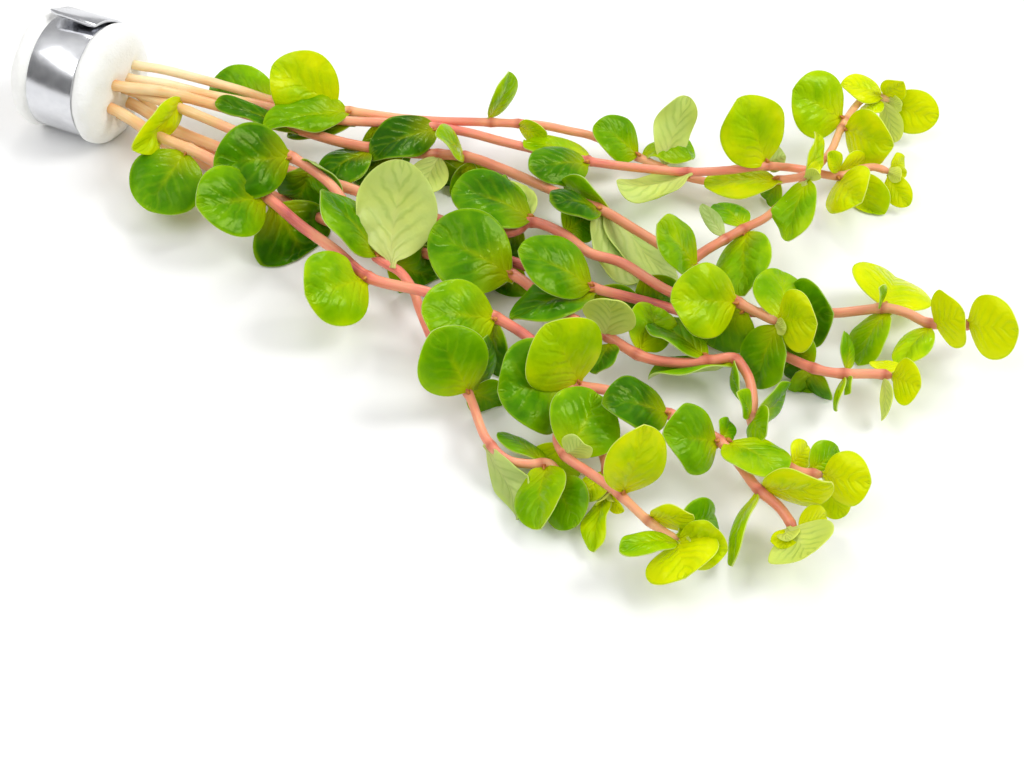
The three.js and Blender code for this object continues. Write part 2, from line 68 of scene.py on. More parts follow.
for corner, name in zip(cad_box, ("lowest", "highest")):
    print(name, "corner of the CAD, mm:", [round(c / MM, 1) for c in corner])

# %% [markdown]
# ## The viewpoint
# The camera looks down on the bunch from the near side, 47 degrees above the surface, through a
# 75 mm lens. The stems and leaves below are placed by what this camera sees: a place in the
# picture and a height give one point. The same sums placed the solids of the CAD.

# %% Camera
PICTURE = (1024, 763)
LENS = 75  # mm, as are the sensor's width and the two lines on where the camera is
SENSOR = 36
FOCAL = PICTURE[0] * LENS / SENSOR
MIDDLE = (PICTURE[0] / 2, PICTURE[1] / 2)
ELEVATION = math.radians(47)
TURN = math.radians(24)
TARGET = Vector((113, -33.2, 0))
DISTANCE = 400

RIGHT = Vector((math.cos(TURN), math.sin(TURN), 0))
AHEAD = Vector((-math.sin(TURN), math.cos(TURN), 0)) * math.cos(ELEVATION)
AHEAD.z = -math.sin(ELEVATION)
UP = RIGHT.cross(AHEAD)
EYE = TARGET - AHEAD * DISTANCE

bpy.ops.object.select_all(action="DESELECT")
bpy.ops.object.camera_add(location=EYE * MM, rotation=(math.pi / 2 - ELEVATION, 0, TURN))
camera = bpy.context.object
camera.name = "camera"
camera.data.lens = LENS
camera.data.sensor_width = SENSOR
camera.data.clip_start = 0.01
bpy.context.scene.camera = camera
print("focal length:", round(FOCAL, 1), "pixels; eye, mm:", [round(c, 1) for c in EYE])


# %% From the picture to the object
def sight(across, down):
    """Direction from the eye through a pixel."""
    ray = AHEAD + RIGHT * ((across - MIDDLE[0]) / FOCAL) + UP * ((MIDDLE[1] - down) / FOCAL)
    return ray.normalized()


def seen_at(across, down, height):
    """The point at a height above the surface, in mm, that is seen at a pixel."""
    ray = sight(across, down)
    return EYE + ray * ((height - EYE.z) / ray.z)


def pixel_of(point):
    """The pixel at which a point is seen."""
    v = point - EYE
    scale = FOCAL / v.dot(AHEAD)
    return MIDDLE[0] + scale * v.dot(RIGHT), MIDDLE[1] - scale * v.dot(UP)


print("the camera's target is seen at", [round(c) for c in pixel_of(TARGET)])

# %% [markdown]
# ## The stems' routes
# A cut stem is nearly straight between its joints and turns a little at each one. In the tables,
# slot is the stem's place in the foam, in mm to the side and above the foam's middle line, from
# is the stem that a shoot forks off, and route holds places in the picture with heights in mm. A
# smooth curve through the points gives the middle line.

# %% Tables of the stems
COLLAR_AXIS = 11.6  # mm: height of the foam's middle line above the surface
FOAM_END = 11  # mm along the bunch from the foam's middle, as are the next two
CUT_END = -12
HELD = 4  # the strip holds the stems straight up to here, on both sides
STEM_RADIUS = 1.15
SHOOT_RADIUS = 0.95

STEMS = {
    "stem_1": {
        "slot": [5.2, 2.3],
        "route": [
            [160, 69, 13.8], [200, 79, 12.3], [240, 90, 11.5], [280, 103, 10.2], [310, 108, 9.8],
            [340, 110, 9.5], [400, 118, 8.5], [440, 121, 8.5], [480, 122, 9], [505, 123, 9], [540, 125, 8.5],
            [570, 131, 8], [592, 136, 6.5], [640, 158, 4], [690, 178, 3.5], [740, 184, 4.5], [778, 180, 6],
            [805, 175, 8.5], [828, 155, 9], [843, 125, 8], [862, 100, 8], [875, 96, 8], [883, 98, 8],
            [892, 101, 8],
        ],
    },
    "stem_2": {
        "slot": [2.4, 0.9],
        "route": [
            [165, 84, 13.5], [200, 93, 12.5], [260, 105, 11.5], [300, 115, 10.5], [350, 121, 9.5],
            [400, 123, 9], [437, 127, 8.5], [470, 133, 8], [500, 141, 8], [525, 147, 8], [587, 161, 8],
            [640, 168, 8.5], [687, 172, 9], [730, 170, 9.5], [765, 166, 9.5], [800, 169, 6.5],
            [837, 176, 5.5], [872, 167, 6], [890, 172, 6],
        ],
    },
    "stem_3": {
        "slot": [-2.8, 2.9],
        "route": [
            [165, 92, 14.5], [200, 101, 13], [240, 112, 11.5], [300, 130, 9.5], [345, 143, 7.8],
            [400, 152, 6.6], [468, 157, 7.5], [500, 168, 8], [540, 185, 8.5], [570, 198, 9], [602, 210, 9.5],
            [636, 230, 10], [670, 251, 10.5], [693, 266, 11], [715, 285, 11.5], [738, 302, 12],
            [779, 323, 12.5],
        ],
    },
    "stem_4": {
        "slot": [0.9, -4.6],
        "route": [
            [172, 128, 8], [200, 140, 7.5], [260, 162, 7], [345, 187, 7], [420, 213, 7], [480, 232, 7.5],
            [512, 232, 8], [530, 222, 8], [560, 232, 8], [590, 253, 8], [620, 262, 8], [673, 293, 7.5],
            [740, 311, 6.5], [800, 312, 6.5], [835, 313, 7], [864, 310, 7.5], [886, 308, 8], [907, 313, 8],
            [928, 323, 8], [960, 325, 8], [975, 325, 8],
        ],
    },
    "stem_5": {
        "slot": [3.6, -3.6],
        "route": [
            [175, 136, 4.5], [250, 168, 4], [340, 203, 4], [430, 236, 4.5], [520, 264, 5.5], [590, 287, 6.5],
            [670, 308, 5], [750, 335, 5], [765, 345, 5.2], [813, 368, 6.5], [836, 373, 7], [879, 374, 7],
            [893, 376, 7],
        ],
    },
    "stem_6": {
        "slot": [-2.9, -4.6],
        "route": [
            [170, 147, 3], [240, 180, 2.5], [330, 222, 3], [420, 252, 4], [509, 273, 6], [541, 295, 6.5],
            [575, 320, 7], [605, 335, 7], [644, 357, 7], [682, 363, 7], [713, 360, 7], [733, 358, 7],
            [747, 374, 7], [753, 400, 7], [752, 422, 7], [761, 442, 7], [779, 462, 7], [800, 472, 7],
            [824, 475, 7],
        ],
    },
    "stem_7": {
        "slot": [-5.5, -1.2],
        "route": [
            [160, 137, 10.5], [208, 158, 10], [268, 198, 9.5], [300, 225, 9.5], [335, 250, 9.5],
            [370, 278, 9.5], [423, 291, 9.5], [470, 305, 9], [497, 318, 8.5], [525, 335, 7], [548, 356, 6.5],
            [572, 383, 6.5], [610, 391, 6.5], [660, 411, 7], [683, 419, 7.5], [721, 442, 8], [740, 465, 8],
            [757, 488, 8], [780, 508, 7.5], [795, 530, 7],
        ],
    },
    "stem_8": {
        "slot": [-0.3, 0.2],
        "route": [
            [185, 110, 13], [228, 128, 13], [292, 157, 13], [332, 186, 12], [356, 222, 10.5], [378, 258, 8],
            [400, 272, 6.2], [413, 290, 5], [420, 310, 4.8], [440, 355, 5.5], [468, 393, 6], [487, 440, 6],
            [508, 460, 6], [530, 464, 6], [550, 464, 6], [560, 478, 5.5],
        ],
    },
    "side_shoot_1": {
        "from": "stem_3",
        "route": [
            [690, 262, 11], [705, 251, 10.5], [720, 242, 10], [745, 228, 9.5], [765, 218, 9], [785, 200, 9],
            [808, 178, 13.5],
        ],
    },
    "side_shoot_2": {
        "from": "stem_7",
        "route": [
            [571, 386, 6.4], [568, 402, 6.5], [560, 425, 7], [558, 443, 8], [568, 458, 9], [590, 473, 9],
            [619, 494, 8.5], [645, 518, 8], [664, 532, 7.5], [679, 540, 7.5],
        ],
    },
    "side_shoot_3": {
        "from": "side_shoot_2",
        "route": [
            [568, 410, 6.5], [585, 430, 5.5], [603, 455, 5], [607, 478, 4.8], [609, 496, 5],
        ],
    },
}
print(len(STEMS), "stems and shoots")


# %% Smooth curve through points
SPAN_STEPS = 12  # short steps from one given point to the next


def knot(a, b):
    """Spacing between two points of a centripetal curve."""
    return (b - a).length_squared ** 0.25


def between(x0, x1, x2, x3, t):
    """Point between x1 and x2 on the centripetal Catmull-Rom curve through four points."""
    d0, d1, d2 = knot(x0, x1), knot(x1, x2), knot(x2, x3)
    t1 = ((x1 - x0) / d0 - (x2 - x0) / (d0 + d1) + (x2 - x1) / d1) * d1
    t2 = ((x2 - x1) / d1 - (x3 - x1) / (d1 + d2) + (x3 - x2) / d2) * d1
    c2 = -3 * x1 + 3 * x2 - 2 * t1 - t2
    c3 = 2 * x1 - 2 * x2 + t1 + t2
    return x1 + t1 * t + c2 * t * t + c3 * t ** 3


def even_line(points, step):
    """Points at even spaces along the smooth curve through the given ones, and their spacing."""
    padded = [points[0] * 2 - points[1], *points, points[-1] * 2 - points[-2]]
    dense = [points[0]]
    for i in range(len(points) - 1):
        span = padded[i : i + 4]
        dense += [between(*span, k / SPAN_STEPS) for k in range(1, SPAN_STEPS + 1)]
    reach = [0]
    for a, b in zip(dense, dense[1:]):
        reach.append(reach[-1] + (b - a).length)
    count = max(2, round(reach[-1] / step))
    line = []
    j = 0
    for i in range(count + 1):
        wanted = reach[-1] * i / count
        while j < len(reach) - 2 and reach[j + 1] < wanted:
            j += 1
        share = (wanted - reach[j]) / (reach[j + 1] - reach[j])
        line.append(dense[j].lerp(dense[j + 1], share))
    return line, reach[-1] / count


# %% Middle line of every stem
LINE_STEP = 0.7  # mm
lines = {}
for name, stem in STEMS.items():
    points = [seen_at(*place) for place in stem["route"]]
    if "slot" in stem:
        side, rise = stem["slot"]
        held = (CUT_END, -HELD, HELD, FOAM_END)
        points = [Vector((x, side, COLLAR_AXIS + rise)) for x in held] + points
    stem["radius"] = STEM_RADIUS if "slot" in stem else SHOOT_RADIUS
    lines[name], stem["step"] = even_line(points, LINE_STEP)
    length = (len(lines[name]) - 1) * stem["step"]
    print(f"{name} grows from {stem.get('from', 'the foam')}: {length:.0f} mm long")

# %% [markdown]
# ## The leaves' places
# Leaves grow in opposite pairs straight from the joints, without a stalk to speak of. Each row
# holds the place on the stem where the leaf grows, the place of its tip, its length and width in
# mm, near 1 where the tip comes towards the viewer and -1 where it goes away, its roll in degrees
# out of facing the viewer, side 1 where the upper face shows and -1 where the lower one does, and
# its age from 0 for the oldest to 1 for a tip leaf.

# %% Tables of the leaves
LEAVES = {
    "stem_1": [
        [272, 100, 211, 82, 15.5, 11, -1, 30, 1, 0.35],
        [338, 102, 271, 67, 16, 15, 1, 5, 1, 0.85],
        [349, 118, 262, 127, 19.5, 9.5, 1, 46, 1, 0.45],
        [638, 158, 595, 124, 12, 10.5, 1, 38, 1, 0.36],
        [663, 166, 691, 97, 15, 9, 1, 30, -1, 0.75],
        [778, 183, 704, 188, 14.8, 9.5, 1, 48, 1, 0.85],
        [846, 120, 789, 92, 14, 14.5, 1, 15, 1, 0.7],
        [843, 130, 891, 147, 13, 12.5, 1, 25, 1, 0.95],
    ],
    "stem_2": [
        [437, 131, 369, 152, 15.5, 11.5, 1, 42, 1, 0.02],
        [590, 158, 523, 147, 14, 11, -1, 66, 1, 0.65],
        [586, 163, 528, 171, 14.5, 10.5, 1, 36, 1, 0.15],
        [687, 175, 617, 188, 14.5, 12, 1, 66, -1, 0.65],
        [768, 165, 736, 100, 15.5, 14.5, 1, 15, 1, 0.7],
        [838, 177, 860, 204, 12, 12, 1, 15, 1, 0.9],
    ],
    "stem_3": [
        [607, 212, 566, 186, 13, 12, -1, -52, 1, 0.35],
        [600, 213, 550, 200, 13, 9.5, 1, 60, 1, 0.02],
        [596, 216, 636, 287, 18.5, 9.5, 1, -45, -1, 0.6],
        [602, 217, 678, 281, 18, 11, 1, -50, -1, 0.45],
        [702, 264, 654, 224, 14.5, 12.5, 1, 50, 1, 0.48],
        [739, 302, 671, 299, 14.5, 14.5, 1, 8, 1, 0.62],
        [744, 306, 706, 342, 12.5, 13, -1, -12, 1, 0.25],
    ],
    "stem_4": [
        [530, 221, 452, 188, 16.5, 14.5, 1, 45, 1, 0.2],
        [788, 312, 834, 312, 13, 13.5, 1, 12, 1, 0.15],
        [887, 305, 896, 273, 13, 17, -1, 8, 1, 0.85],
    ],
    "stem_5": [
        [594, 281, 516, 252, 16.5, 14.5, 1, 38, 1, 0.3],
        [594, 296, 510, 319, 18.5, 11.5, 1, 52, 1, 0.15],
    ],
    "stem_6": [
        [514, 272, 429, 232, 18, 17, 1, 15, 1, 0.3],
        [706, 360, 643, 322, 15, 12, -1, 65, 1, 0.3],
    ],
    "stem_7": [
        [188, 150, 147, 213, 16, 16.5, 1, 25, 1, 0.2],
        [268, 198, 197, 208, 16.5, 15.5, 1, 15, 1, 0.3],
        [272, 204, 310, 268, 15.5, 18, -1, -15, 1, 0],
        [368, 278, 303, 299, 15.5, 15.5, 1, 10, 1, 0.5],
        [498, 318, 419, 313, 16, 14.5, 1, 15, 1, 0.45],
        [578, 381, 547, 325, 15, 17, 1, 12, 1, 0.74],
        [568, 386, 497, 392, 15.5, 18.5, 1, 10, 1, 0.3],
        [670, 412, 604, 400, 14.5, 12, 1, 36, 1, 0.05],
        [719, 442, 667, 437, 13, 13, 1, 8, 1, 0.4],
        [729, 442, 783, 475, 13, 12, 1, -52, 1, 0.64],
    ],
    "stem_8": [
        [291, 158, 213, 163, 17, 15.5, 1, 12, 1, 0.1],
        [377, 257, 318, 191, 17.5, 13, 1, 55, 1, 0.35],
        [388, 257, 406, 160, 19, 16.5, 1, 10, -1, 0.6],
        [468, 394, 435, 330, 15.5, 14.5, 1, 12, 1, 0.4],
        [546, 462, 540, 526, 14, 11, 1, 35, 1, 0.55],
    ],
    "side_shoot_1": [
        [742, 231, 748, 296, 14.5, 13, 1, 30, 1, 0.35],
    ],
    "side_shoot_2": [
        [563, 455, 598, 393, 14, 14.5, -1, 12, 1, 0.4],
        [622, 497, 645, 422, 16, 12, 1, 28, 1, 0.9],
    ],
}

SMALL_LEAVES = {
    "stem_1": [
        [492, 118, 509, 71, 10, 9, -1, 62, 1, 0.6],
        [520, 121, 547, 135, 7, 6, 1, 45, 1, 0.75],
        [640, 160, 696, 151, 12, 9, -1, -50, 1, 0.5],
        [779, 183, 764, 204, 7, 7, -1, 30, 1, 0.4],
        [882, 95, 841, 83, 9.5, 8, 1, 45, 1, 0.9],
        [880, 97, 866, 113, 6, 5, 1, 30, 1, 0.9],
        [884, 98, 904, 83, 6.5, 6, 1, 30, 1, 1],
        [890, 100, 938, 120, 11, 10, 1, 20, 1, 1],
        [885, 102, 894, 143, 8.5, 6, 1, 40, -1, 0.8],
    ],
    "stem_2": [
        [768, 165, 786, 155, 6, 6, -1, 20, -1, 0.5],
        [838, 176, 829, 152, 6, 5, 1, 45, 1, 0.85],
        [838, 177, 868, 160, 8, 7, -1, 30, 1, 1],
        [862, 174, 873, 223, 10.8, 10.5, 1, 30, 1, 0.75],
        [889, 172, 909, 206, 8, 6, 1, 20, 1, 1],
        [890, 171, 905, 158, 5, 5, -1, 40, 1, 1],
    ],
    "stem_3": [
        [182, 96, 137, 151, 17, 8, 1, -40, 1, 0.8],
        [372, 150, 320, 180, 13, 11, 1, 50, 1, 0.05],
        [438, 154, 420, 192, 10.5, 8, 1, 10, -1, 0.7],
        [466, 156, 437, 134, 9.5, 10, 1, 62, 1, 0.6],
        [779, 323, 817, 322, 9.5, 12, 1, 10, 1, 0.9],
        [779, 321, 782, 271, 13, 12, -1, 20, 1, 0.55],
        [778, 324, 798, 374, 12, 10.5, -1, 12, 1, 0.5],
        [778, 326, 757, 386, 13, 12, -1, 40, 1, 0.3],
    ],
    "stem_4": [
        [521, 230, 508, 176, 13, 8, -1, 50, 1, 0.45],
        [884, 309, 857, 366, 12, 10, 1, 50, 1, 0.5],
        [880, 308, 881, 288, 6, 5, 1, 70, 1, 0.6],
        [928, 326, 899, 367, 11, 8, 1, 45, 1, 0.7],
        [933, 325, 964, 316, 8, 12, 1, 15, 1, 1],
        [967, 325, 1018, 328, 12, 12.5, 1, 12, 1, 1],
    ],
    "stem_5": [
        [813, 369, 806, 391, 8, 11, -1, 20, 1, 0.15],
        [846, 373, 846, 331, 8.5, 5.5, -1, 60, 1, 0.4],
        [845, 374, 837, 411, 8, 5, 1, 72, 1, 0.7],
        [847, 375, 850, 394, 5, 4, 1, 60, 1, 0.6],
        [893, 376, 921, 386, 7, 9, 1, 15, 1, 1],
        [886, 377, 885, 421, 9, 5, 1, 66, -1, 0.8],
        [886, 375, 884, 360, 5, 6, -1, 20, 1, 1],
    ],
    "stem_6": [
        [606, 338, 611, 298, 12, 10.5, 1, -15, -1, 0.8],
        [612, 345, 595, 373, 8, 8, 1, 45, 1, 0.2],
        [636, 354, 655, 306, 12, 10, -1, 25, 1, 0.6],
        [733, 365, 647, 374, 16, 9, 1, 76, 1, 0.35],
        [735, 361, 743, 399, 9, 6, 1, 70, 1, 0.4],
        [752, 418, 740, 392, 6.5, 6, 1, 62, 1, 0.5],
        [755, 416, 765, 437, 8, 8, 1, 50, 1, 0.5],
        [757, 416, 789, 386, 11, 8.5, -1, 60, 1, 0.35],
        [786, 470, 806, 446, 6.5, 6, -1, 30, 1, 0.95],
        [812, 474, 838, 448, 7.5, 7.5, -1, 25, 1, 0.35],
        [824, 475, 872, 482, 10, 10, 1, 15, 1, 1],
        [826, 478, 846, 516, 8, 7, 1, 30, 1, 0.9],
    ],
    "stem_7": [
        [496, 320, 492, 384, 13, 8.5, -1, 45, 1, 0.1],
        [722, 440, 731, 420, 5, 5, -1, 40, 1, 0.4],
        [757, 492, 731, 566, 15, 7, 1, 66, 1, 0.7],
        [760, 498, 832, 480, 14.5, 10, 1, 48, 1, 0.95],
        [795, 531, 808, 557, 8.5, 13, 1, 8, -1, 0.85],
        [796, 529, 826, 516, 6.5, 7, -1, 20, 1, 1],
        [793, 529, 783, 549, 5, 5.5, 1, 20, 1, 1],
    ],
    "stem_8": [
        [296, 164, 343, 198, 12, 9, 1, 62, 1, 0.2],
        [471, 390, 492, 336, 12, 8, -1, 55, 1, 0.1],
        [492, 447, 518, 519, 15, 8, 1, 50, -1, 0.5],
        [543, 463, 500, 434, 12, 7, -1, 60, 1, 0.3],
        [558, 480, 580, 526, 10, 10, 1, 22, 1, 0.4],
    ],
    "side_shoot_1": [
        [744, 228, 718, 203, 9, 8, -1, 45, 1, 0.4],
        [724, 240, 703, 203, 8, 5, -1, 50, -1, 0.2],
        [808, 179, 787, 242, 14, 9.5, 1, 42, 1, 0.5],
        [806, 181, 788, 202, 6, 4, 1, 30, -1, 0.9],
        [808, 177, 818, 133, 11, 7, -1, 68, 1, 0.85],
    ],
    "side_shoot_2": [
        [566, 457, 584, 443, 6, 6, 1, 20, -1, 0.7],
        [680, 538, 619, 549, 12.5, 6, 1, 50, 1, 0.5],
        [678, 538, 716, 512, 11, 10, -1, 25, 1, 0.4],
        [650, 521, 694, 513, 9, 7, 1, 50, 1, 0.95],
        [678, 541, 688, 578, 9, 14, 1, 10, 1, 0.95],
        [680, 540, 726, 553, 9.5, 9, 1, 15, 1, 0.85],
    ],
    "side_shoot_3": [
        [608, 494, 594, 553, 12, 6, 1, 45, 1, 0.75],
        [606, 474, 587, 501, 8, 6, 1, 30, 1, 0.8],
    ],
}

# Leaves that lie under the others and fill the gaps deep in the bunch. Their deep green is partly the old
# leaves' own colour and partly painted shade for the dark depth of the bunch.
UNDER_LEAVES = {
    "stem_2": [
        [372, 120, 398, 172, 13, 11, -1, 15, 1, 0.1],
        [350, 122, 288, 138, 14, 6.5, -1, 50, 1, 0.02],
    ],
    "stem_3": [
        [468, 158, 446, 208, 15, 13, -1, 10, 1, 0.2],
        [470, 160, 480, 208, 13, 12, -1, -10, 1, 0.15],
        [296, 129, 214, 107, 17, 6, -1, 55, 1, 0.12],
        [400, 152, 352, 178, 13, 12, -1, 20, 1, 0.1],
        [434, 152, 452, 204, 14, 12, -1, 20, 1, 0.12],
    ],
    "stem_4": [
        [562, 233, 590, 214, 9, 9, -1, 0, 1, 0.2],
        [528, 222, 506, 178, 11, 8.5, -1, 15, -1, 0.75],
        [526, 232, 498, 252, 11, 9, -1, 15, 1, 0.15],
        [642, 275, 674, 308, 11, 10, -1, 20, 1, 0.15],
        [420, 213, 400, 262, 14, 12, -1, 15, 1, 0.1],
        [700, 302, 726, 346, 13, 12, -1, 15, 1, 0.2],
    ],
    "stem_5": [
        [520, 264, 490, 302, 12, 11, -1, 10, 1, 0.2],
        [594, 292, 636, 322, 12, 10, -1, 15, 1, 0.2],
        [712, 322, 694, 350, 10, 10, -1, 10, 1, 0.15],
        [806, 366, 812, 410, 11, 8, -1, 10, 1, 0.4],
    ],
    "stem_6": [
        [509, 273, 470, 262, 13, 12, -1, 20, 1, 0.1],
        [575, 320, 590, 346, 9, 9, -1, 10, 1, 0.2],
    ],
    "stem_8": [
        [310, 170, 294, 208, 12, 11, -1, 0, 1, 0.05],
        [390, 262, 442, 278, 15, 11, -1, 10, 1, 0.1],
        [466, 391, 504, 404, 10, 8, -1, 15, 1, 0.35],
    ],
    "side_shoot_2": [
        [560, 440, 554, 484, 11, 10, -1, 20, 1, 0.7],
    ],
}
for table in (LEAVES, SMALL_LEAVES, UNDER_LEAVES):
    print(sum(map(len, table.values())), "leaves in a table")


# %% Frame of a leaf
BASE_OUT = 0.8  # radii from a stem's middle line to a leaf's base, just inside its skin


def nearest_on(name, across, down):
    """Index of the point of a stem's middle line that is seen nearest to a pixel."""
    offs = [math.dist(pixel_of(point), (across, down)) for point in lines[name]]
    return offs.index(min(offs))


def tangent_at(name, index):
    """Direction of a stem at one point of its middle line."""
    line = lines[name]
    return (line[min(index + 1, len(line) - 1)] - line[max(index - 1, 0)]).normalized()


def leaf_frame(name, row):
    """A leaf's base, the directions along, across and out of its blade, its size and age."""
    base_across, base_down, tip_across, tip_down, length, width, near, roll, side, age = row
    index = nearest_on(name, base_across, base_down)
    root = lines[name][index]
    ray = sight(tip_across, tip_down)
    to_root = root - EYE
    reach = to_root.dot(ray)
    aside = to_root.length_squared - reach * reach
    depth = math.sqrt(max(0, length * length - aside))
    tip = EYE + ray * (reach - near * depth)
    tangent = tangent_at(name, index)
    outward = tip - root
    outward -= tangent * outward.dot(tangent)
    outward.normalize()
    base = root + outward * (STEMS[name]["radius"] * BASE_OUT)
    along = (tip - base).normalized()
    facing = EYE - base
    facing = (facing - along * facing.dot(along)).normalized()
    turn = math.radians(roll)
    facing = (facing * math.cos(turn) + along.cross(facing) * math.sin(turn)) * side
    return {
        "base": base,
        "along": along,
        "across": facing.cross(along),
        "facing": facing,
        "length": (tip - base).length,
        "width": width,
        "age": age,
    }


first = leaf_frame("stem_7", LEAVES["stem_7"][0])
print("the first leaf of stem_7 is", round(first["length"], 1), "mm long from its base")

# %% [markdown]
# ## One way to write a finish
# Every finish below is a small net of nodes. One function adds a node with its settings and its
# links, so that each line reads as one step. Colours are noted as they look on a screen, and one
# function turns them into the linear values that light is added up in.

# %% Helpers for the finishes
def linear(colour, alpha=1.0):
    """Linear values of a colour given as it looks on a screen, such as #5AA800."""
    values = [int(colour[i : i + 2], 16) / 255 for i in (1, 3, 5)]
    curve = [v / 12.92 if v <= 0.04045 else ((v + 0.055) / 1.055) ** 2.4 for v in values]
    return (*curve, alpha)


def node(tree, kind, *inputs, stops=(), **settings):
    """Add a node with its settings and its links.

    Inputs are given in order, or by name in a dictionary. Each is a value, an output, or a whole
    node, which stands for its first output. Stops are the places and colours of a scale.
    """
    added = tree.nodes.new("ShaderNode" + kind)
    for name, value in settings.items():
        setattr(added, name, value)
    in_use = [socket for socket in added.inputs if socket.enabled]
    by_name = inputs and isinstance(inputs[0], dict)
    for name, value in inputs[0].items() if by_name else enumerate(inputs):
        socket = added.inputs[name] if by_name else in_use[name]
        if isinstance(value, bpy.types.Node):
            value = next(output for output in value.outputs if output.enabled)
        if isinstance(value, bpy.types.NodeSocket):
            tree.links.new(value, socket)
        else:
            socket.default_value = value
    for i, (place, colour) in enumerate(stops):
        scale = added.color_ramp.elements
        stop = scale[i] if i < 2 else scale.new(place)
        stop.position = place
        stop.color = linear(colour)
    return added


def finish(name):
    """A new material with an empty net."""
    material = bpy.data.materials.new(name)
    material.use_nodes = True
    material.node_tree.nodes.clear()
    return material, material.node_tree


print("linear values of the old leaves' green:", [round(c, 3) for c in linear("#1C5800")])

# %% [markdown]
# ## Finish of the leaves' upper face
# The blade is thick and waxy, and it is wet, so it is glossy with soft highlights. A leaf is deep green when
# it is old and yellow-green when it has just opened. The midrib and the foot of the blade are yellow, the
# blade swells a little between its side veins, and some light comes through. The foot's yellow is partly the
# blade's own pale base and partly a painted glow of that light, and a thin lighter line along the rim is a
# painted glow of light through the edge. The age is an attribute of each piece, and the midrib and veins
# follow the blade's own UV map: U runs from foot to tip, V from side to side. The grid's rows and columns
# are closer at the rim, so a cosine and a sine turn U and V into even distances.

# %% Blade pattern shared by both faces
VEIN_PAIRS = 5.5
VEIN_SLANT = 0.42  # of the leaf's length: a side vein gains this on its way to the rim
VEIN_WANDER = 0.14
RIB_WIDTH = 0.2  # half the midrib's width at the foot, as a share of half the blade's
RIB_NARROWING = 0.14
PATCH = 1 / (6 * MM)  # patches of colour about 6 mm wide
BLISTER = 1 / (2.4 * MM)  # the skin bulges a little between the finest veins
GRAIN = 1 / (0.45 * MM)  # cells of the skin, drawn as coarse as they need to be to show


def blade_pattern(tree):
    """Age, uneven patches and the pattern of ribs and veins, each as an output or node to link."""
    # reach runs from 0 at the foot to 1 at the tip, side from 0 on the midrib to 1 at the rim
    uv = node(tree, "SeparateXYZ", node(tree, "UVMap", uv_map="UVMap"))
    reach = node(tree, "Math", uv.outputs[0], math.pi, operation="MULTIPLY")
    reach = node(tree, "Math", reach, operation="COSINE")
    reach = node(tree, "Math", reach, -0.5, 0.5, operation="MULTIPLY_ADD")
    side = node(tree, "Math", uv.outputs[1], math.pi, -math.pi / 2, operation="MULTIPLY_ADD")
    side = node(tree, "Math", side, operation="SINE")
    side = node(tree, "Math", side, operation="ABSOLUTE")

    places = node(tree, "TexCoord").outputs["Object"]
    patch = node(tree, "TexNoise", {"Vector": places, "Scale": PATCH, "Detail": 4.0})
    blister = node(tree, "TexNoise", {"Vector": places, "Scale": BLISTER, "Detail": 2.0})
    grain = node(tree, "TexNoise", {"Vector": places, "Scale": GRAIN, "Detail": 2.0})

    # the midrib narrows from the foot and fades out before the tip
    rib_width = node(tree, "Math", reach, -RIB_NARROWING, RIB_WIDTH, operation="MULTIPLY_ADD")
    off_rib = node(tree, "Math", side, rib_width, operation="DIVIDE")
    rib = node(tree, "MapRange", off_rib, 0.0, 1.0, 1.0, 0.0)
    tipward = node(tree, "MapRange", reach, 0.15, 0.75, 1.0, 0.0)
    rib = node(tree, "Math", rib, tipward, operation="MULTIPLY")

    # the side veins are waves of reach, bent towards the tip, and they fade out before the rim
    curved = node(tree, "Math", side, 0.8, operation="POWER")
    bent = node(tree, "Math", curved, -VEIN_SLANT, reach, operation="MULTIPLY_ADD")
    bent = node(tree, "Math", blister, VEIN_WANDER, bent, operation="MULTIPLY_ADD")
    wave = node(tree, "Math", bent, VEIN_PAIRS * math.tau, operation="MULTIPLY")
    wave = node(tree, "Math", wave, operation="SINE")
    vein = node(tree, "MapRange", wave, -0.2, 1.0, 0.0, 1.0)
    vein = node(tree, "Math", vein, 1.6, operation="POWER")
    rimward = node(tree, "MapRange", side, 0.4, 0.9, 1.0, 0.0)
    vein = node(tree, "Math", vein, rimward, operation="MULTIPLY")

    # the foot is a soft patch round the base, and the edge a thin line along the rim
    from_foot = node(tree, "Math", side, 0.2, reach, operation="MULTIPLY_ADD")
    foot = node(tree, "MapRange", from_foot, 0.0, 0.5, 1.0, 0.0)
    foot = node(tree, "Math", foot, 1.15, operation="POWER")
    outermost = node(tree, "Math", side, reach, operation="MAXIMUM")
    return {
        "age": node(tree, "Attribute", attribute_name="age").outputs["Fac"],
        "patch": patch,
        "blister": blister,
        "grain": grain,
        "rib": rib,
        "vein": vein,
        "foot": foot,
        "rim": node(tree, "MapRange", side, 0.5, 1.0, 0.0, 1.0),
        "edge": node(tree, "MapRange", outermost, 0.92, 1.0, 0.0, 1.0),
    }


# %% Relief and light of both faces
WAX_IOR = 1.45


def blade_relief(tree, blade, heights, strength, depth):
    """Bump of the blade's bulges, with the veins, the midrib and the skin's cells added."""
    relief = blade["blister"]
    for part, height in zip(("vein", "rib", "grain"), heights):
        relief = node(tree, "Math", blade[part], height, relief, operation="MULTIPLY_ADD")
    return node(tree, "Bump", {"Height": relief, "Strength": strength, "Distance": depth * MM})


def blade_surface(tree, colour, through, share, skin):
    """End a net with a waxy skin and the share of light that comes through the blade."""
    waxy = node(tree, "BsdfPrincipled", {"Base Color": colour, "IOR": WAX_IOR, **skin})
    glow = node(tree, "BsdfTranslucent", {"Color": through, "Normal": skin["Normal"]})
    node(tree, "OutputMaterial", node(tree, "MixShader", share, waxy, glow))


# %% Upper face
leaf_upper, tree = finish("wet_waxy_leaf_upper_face")
blade = blade_pattern(tree)
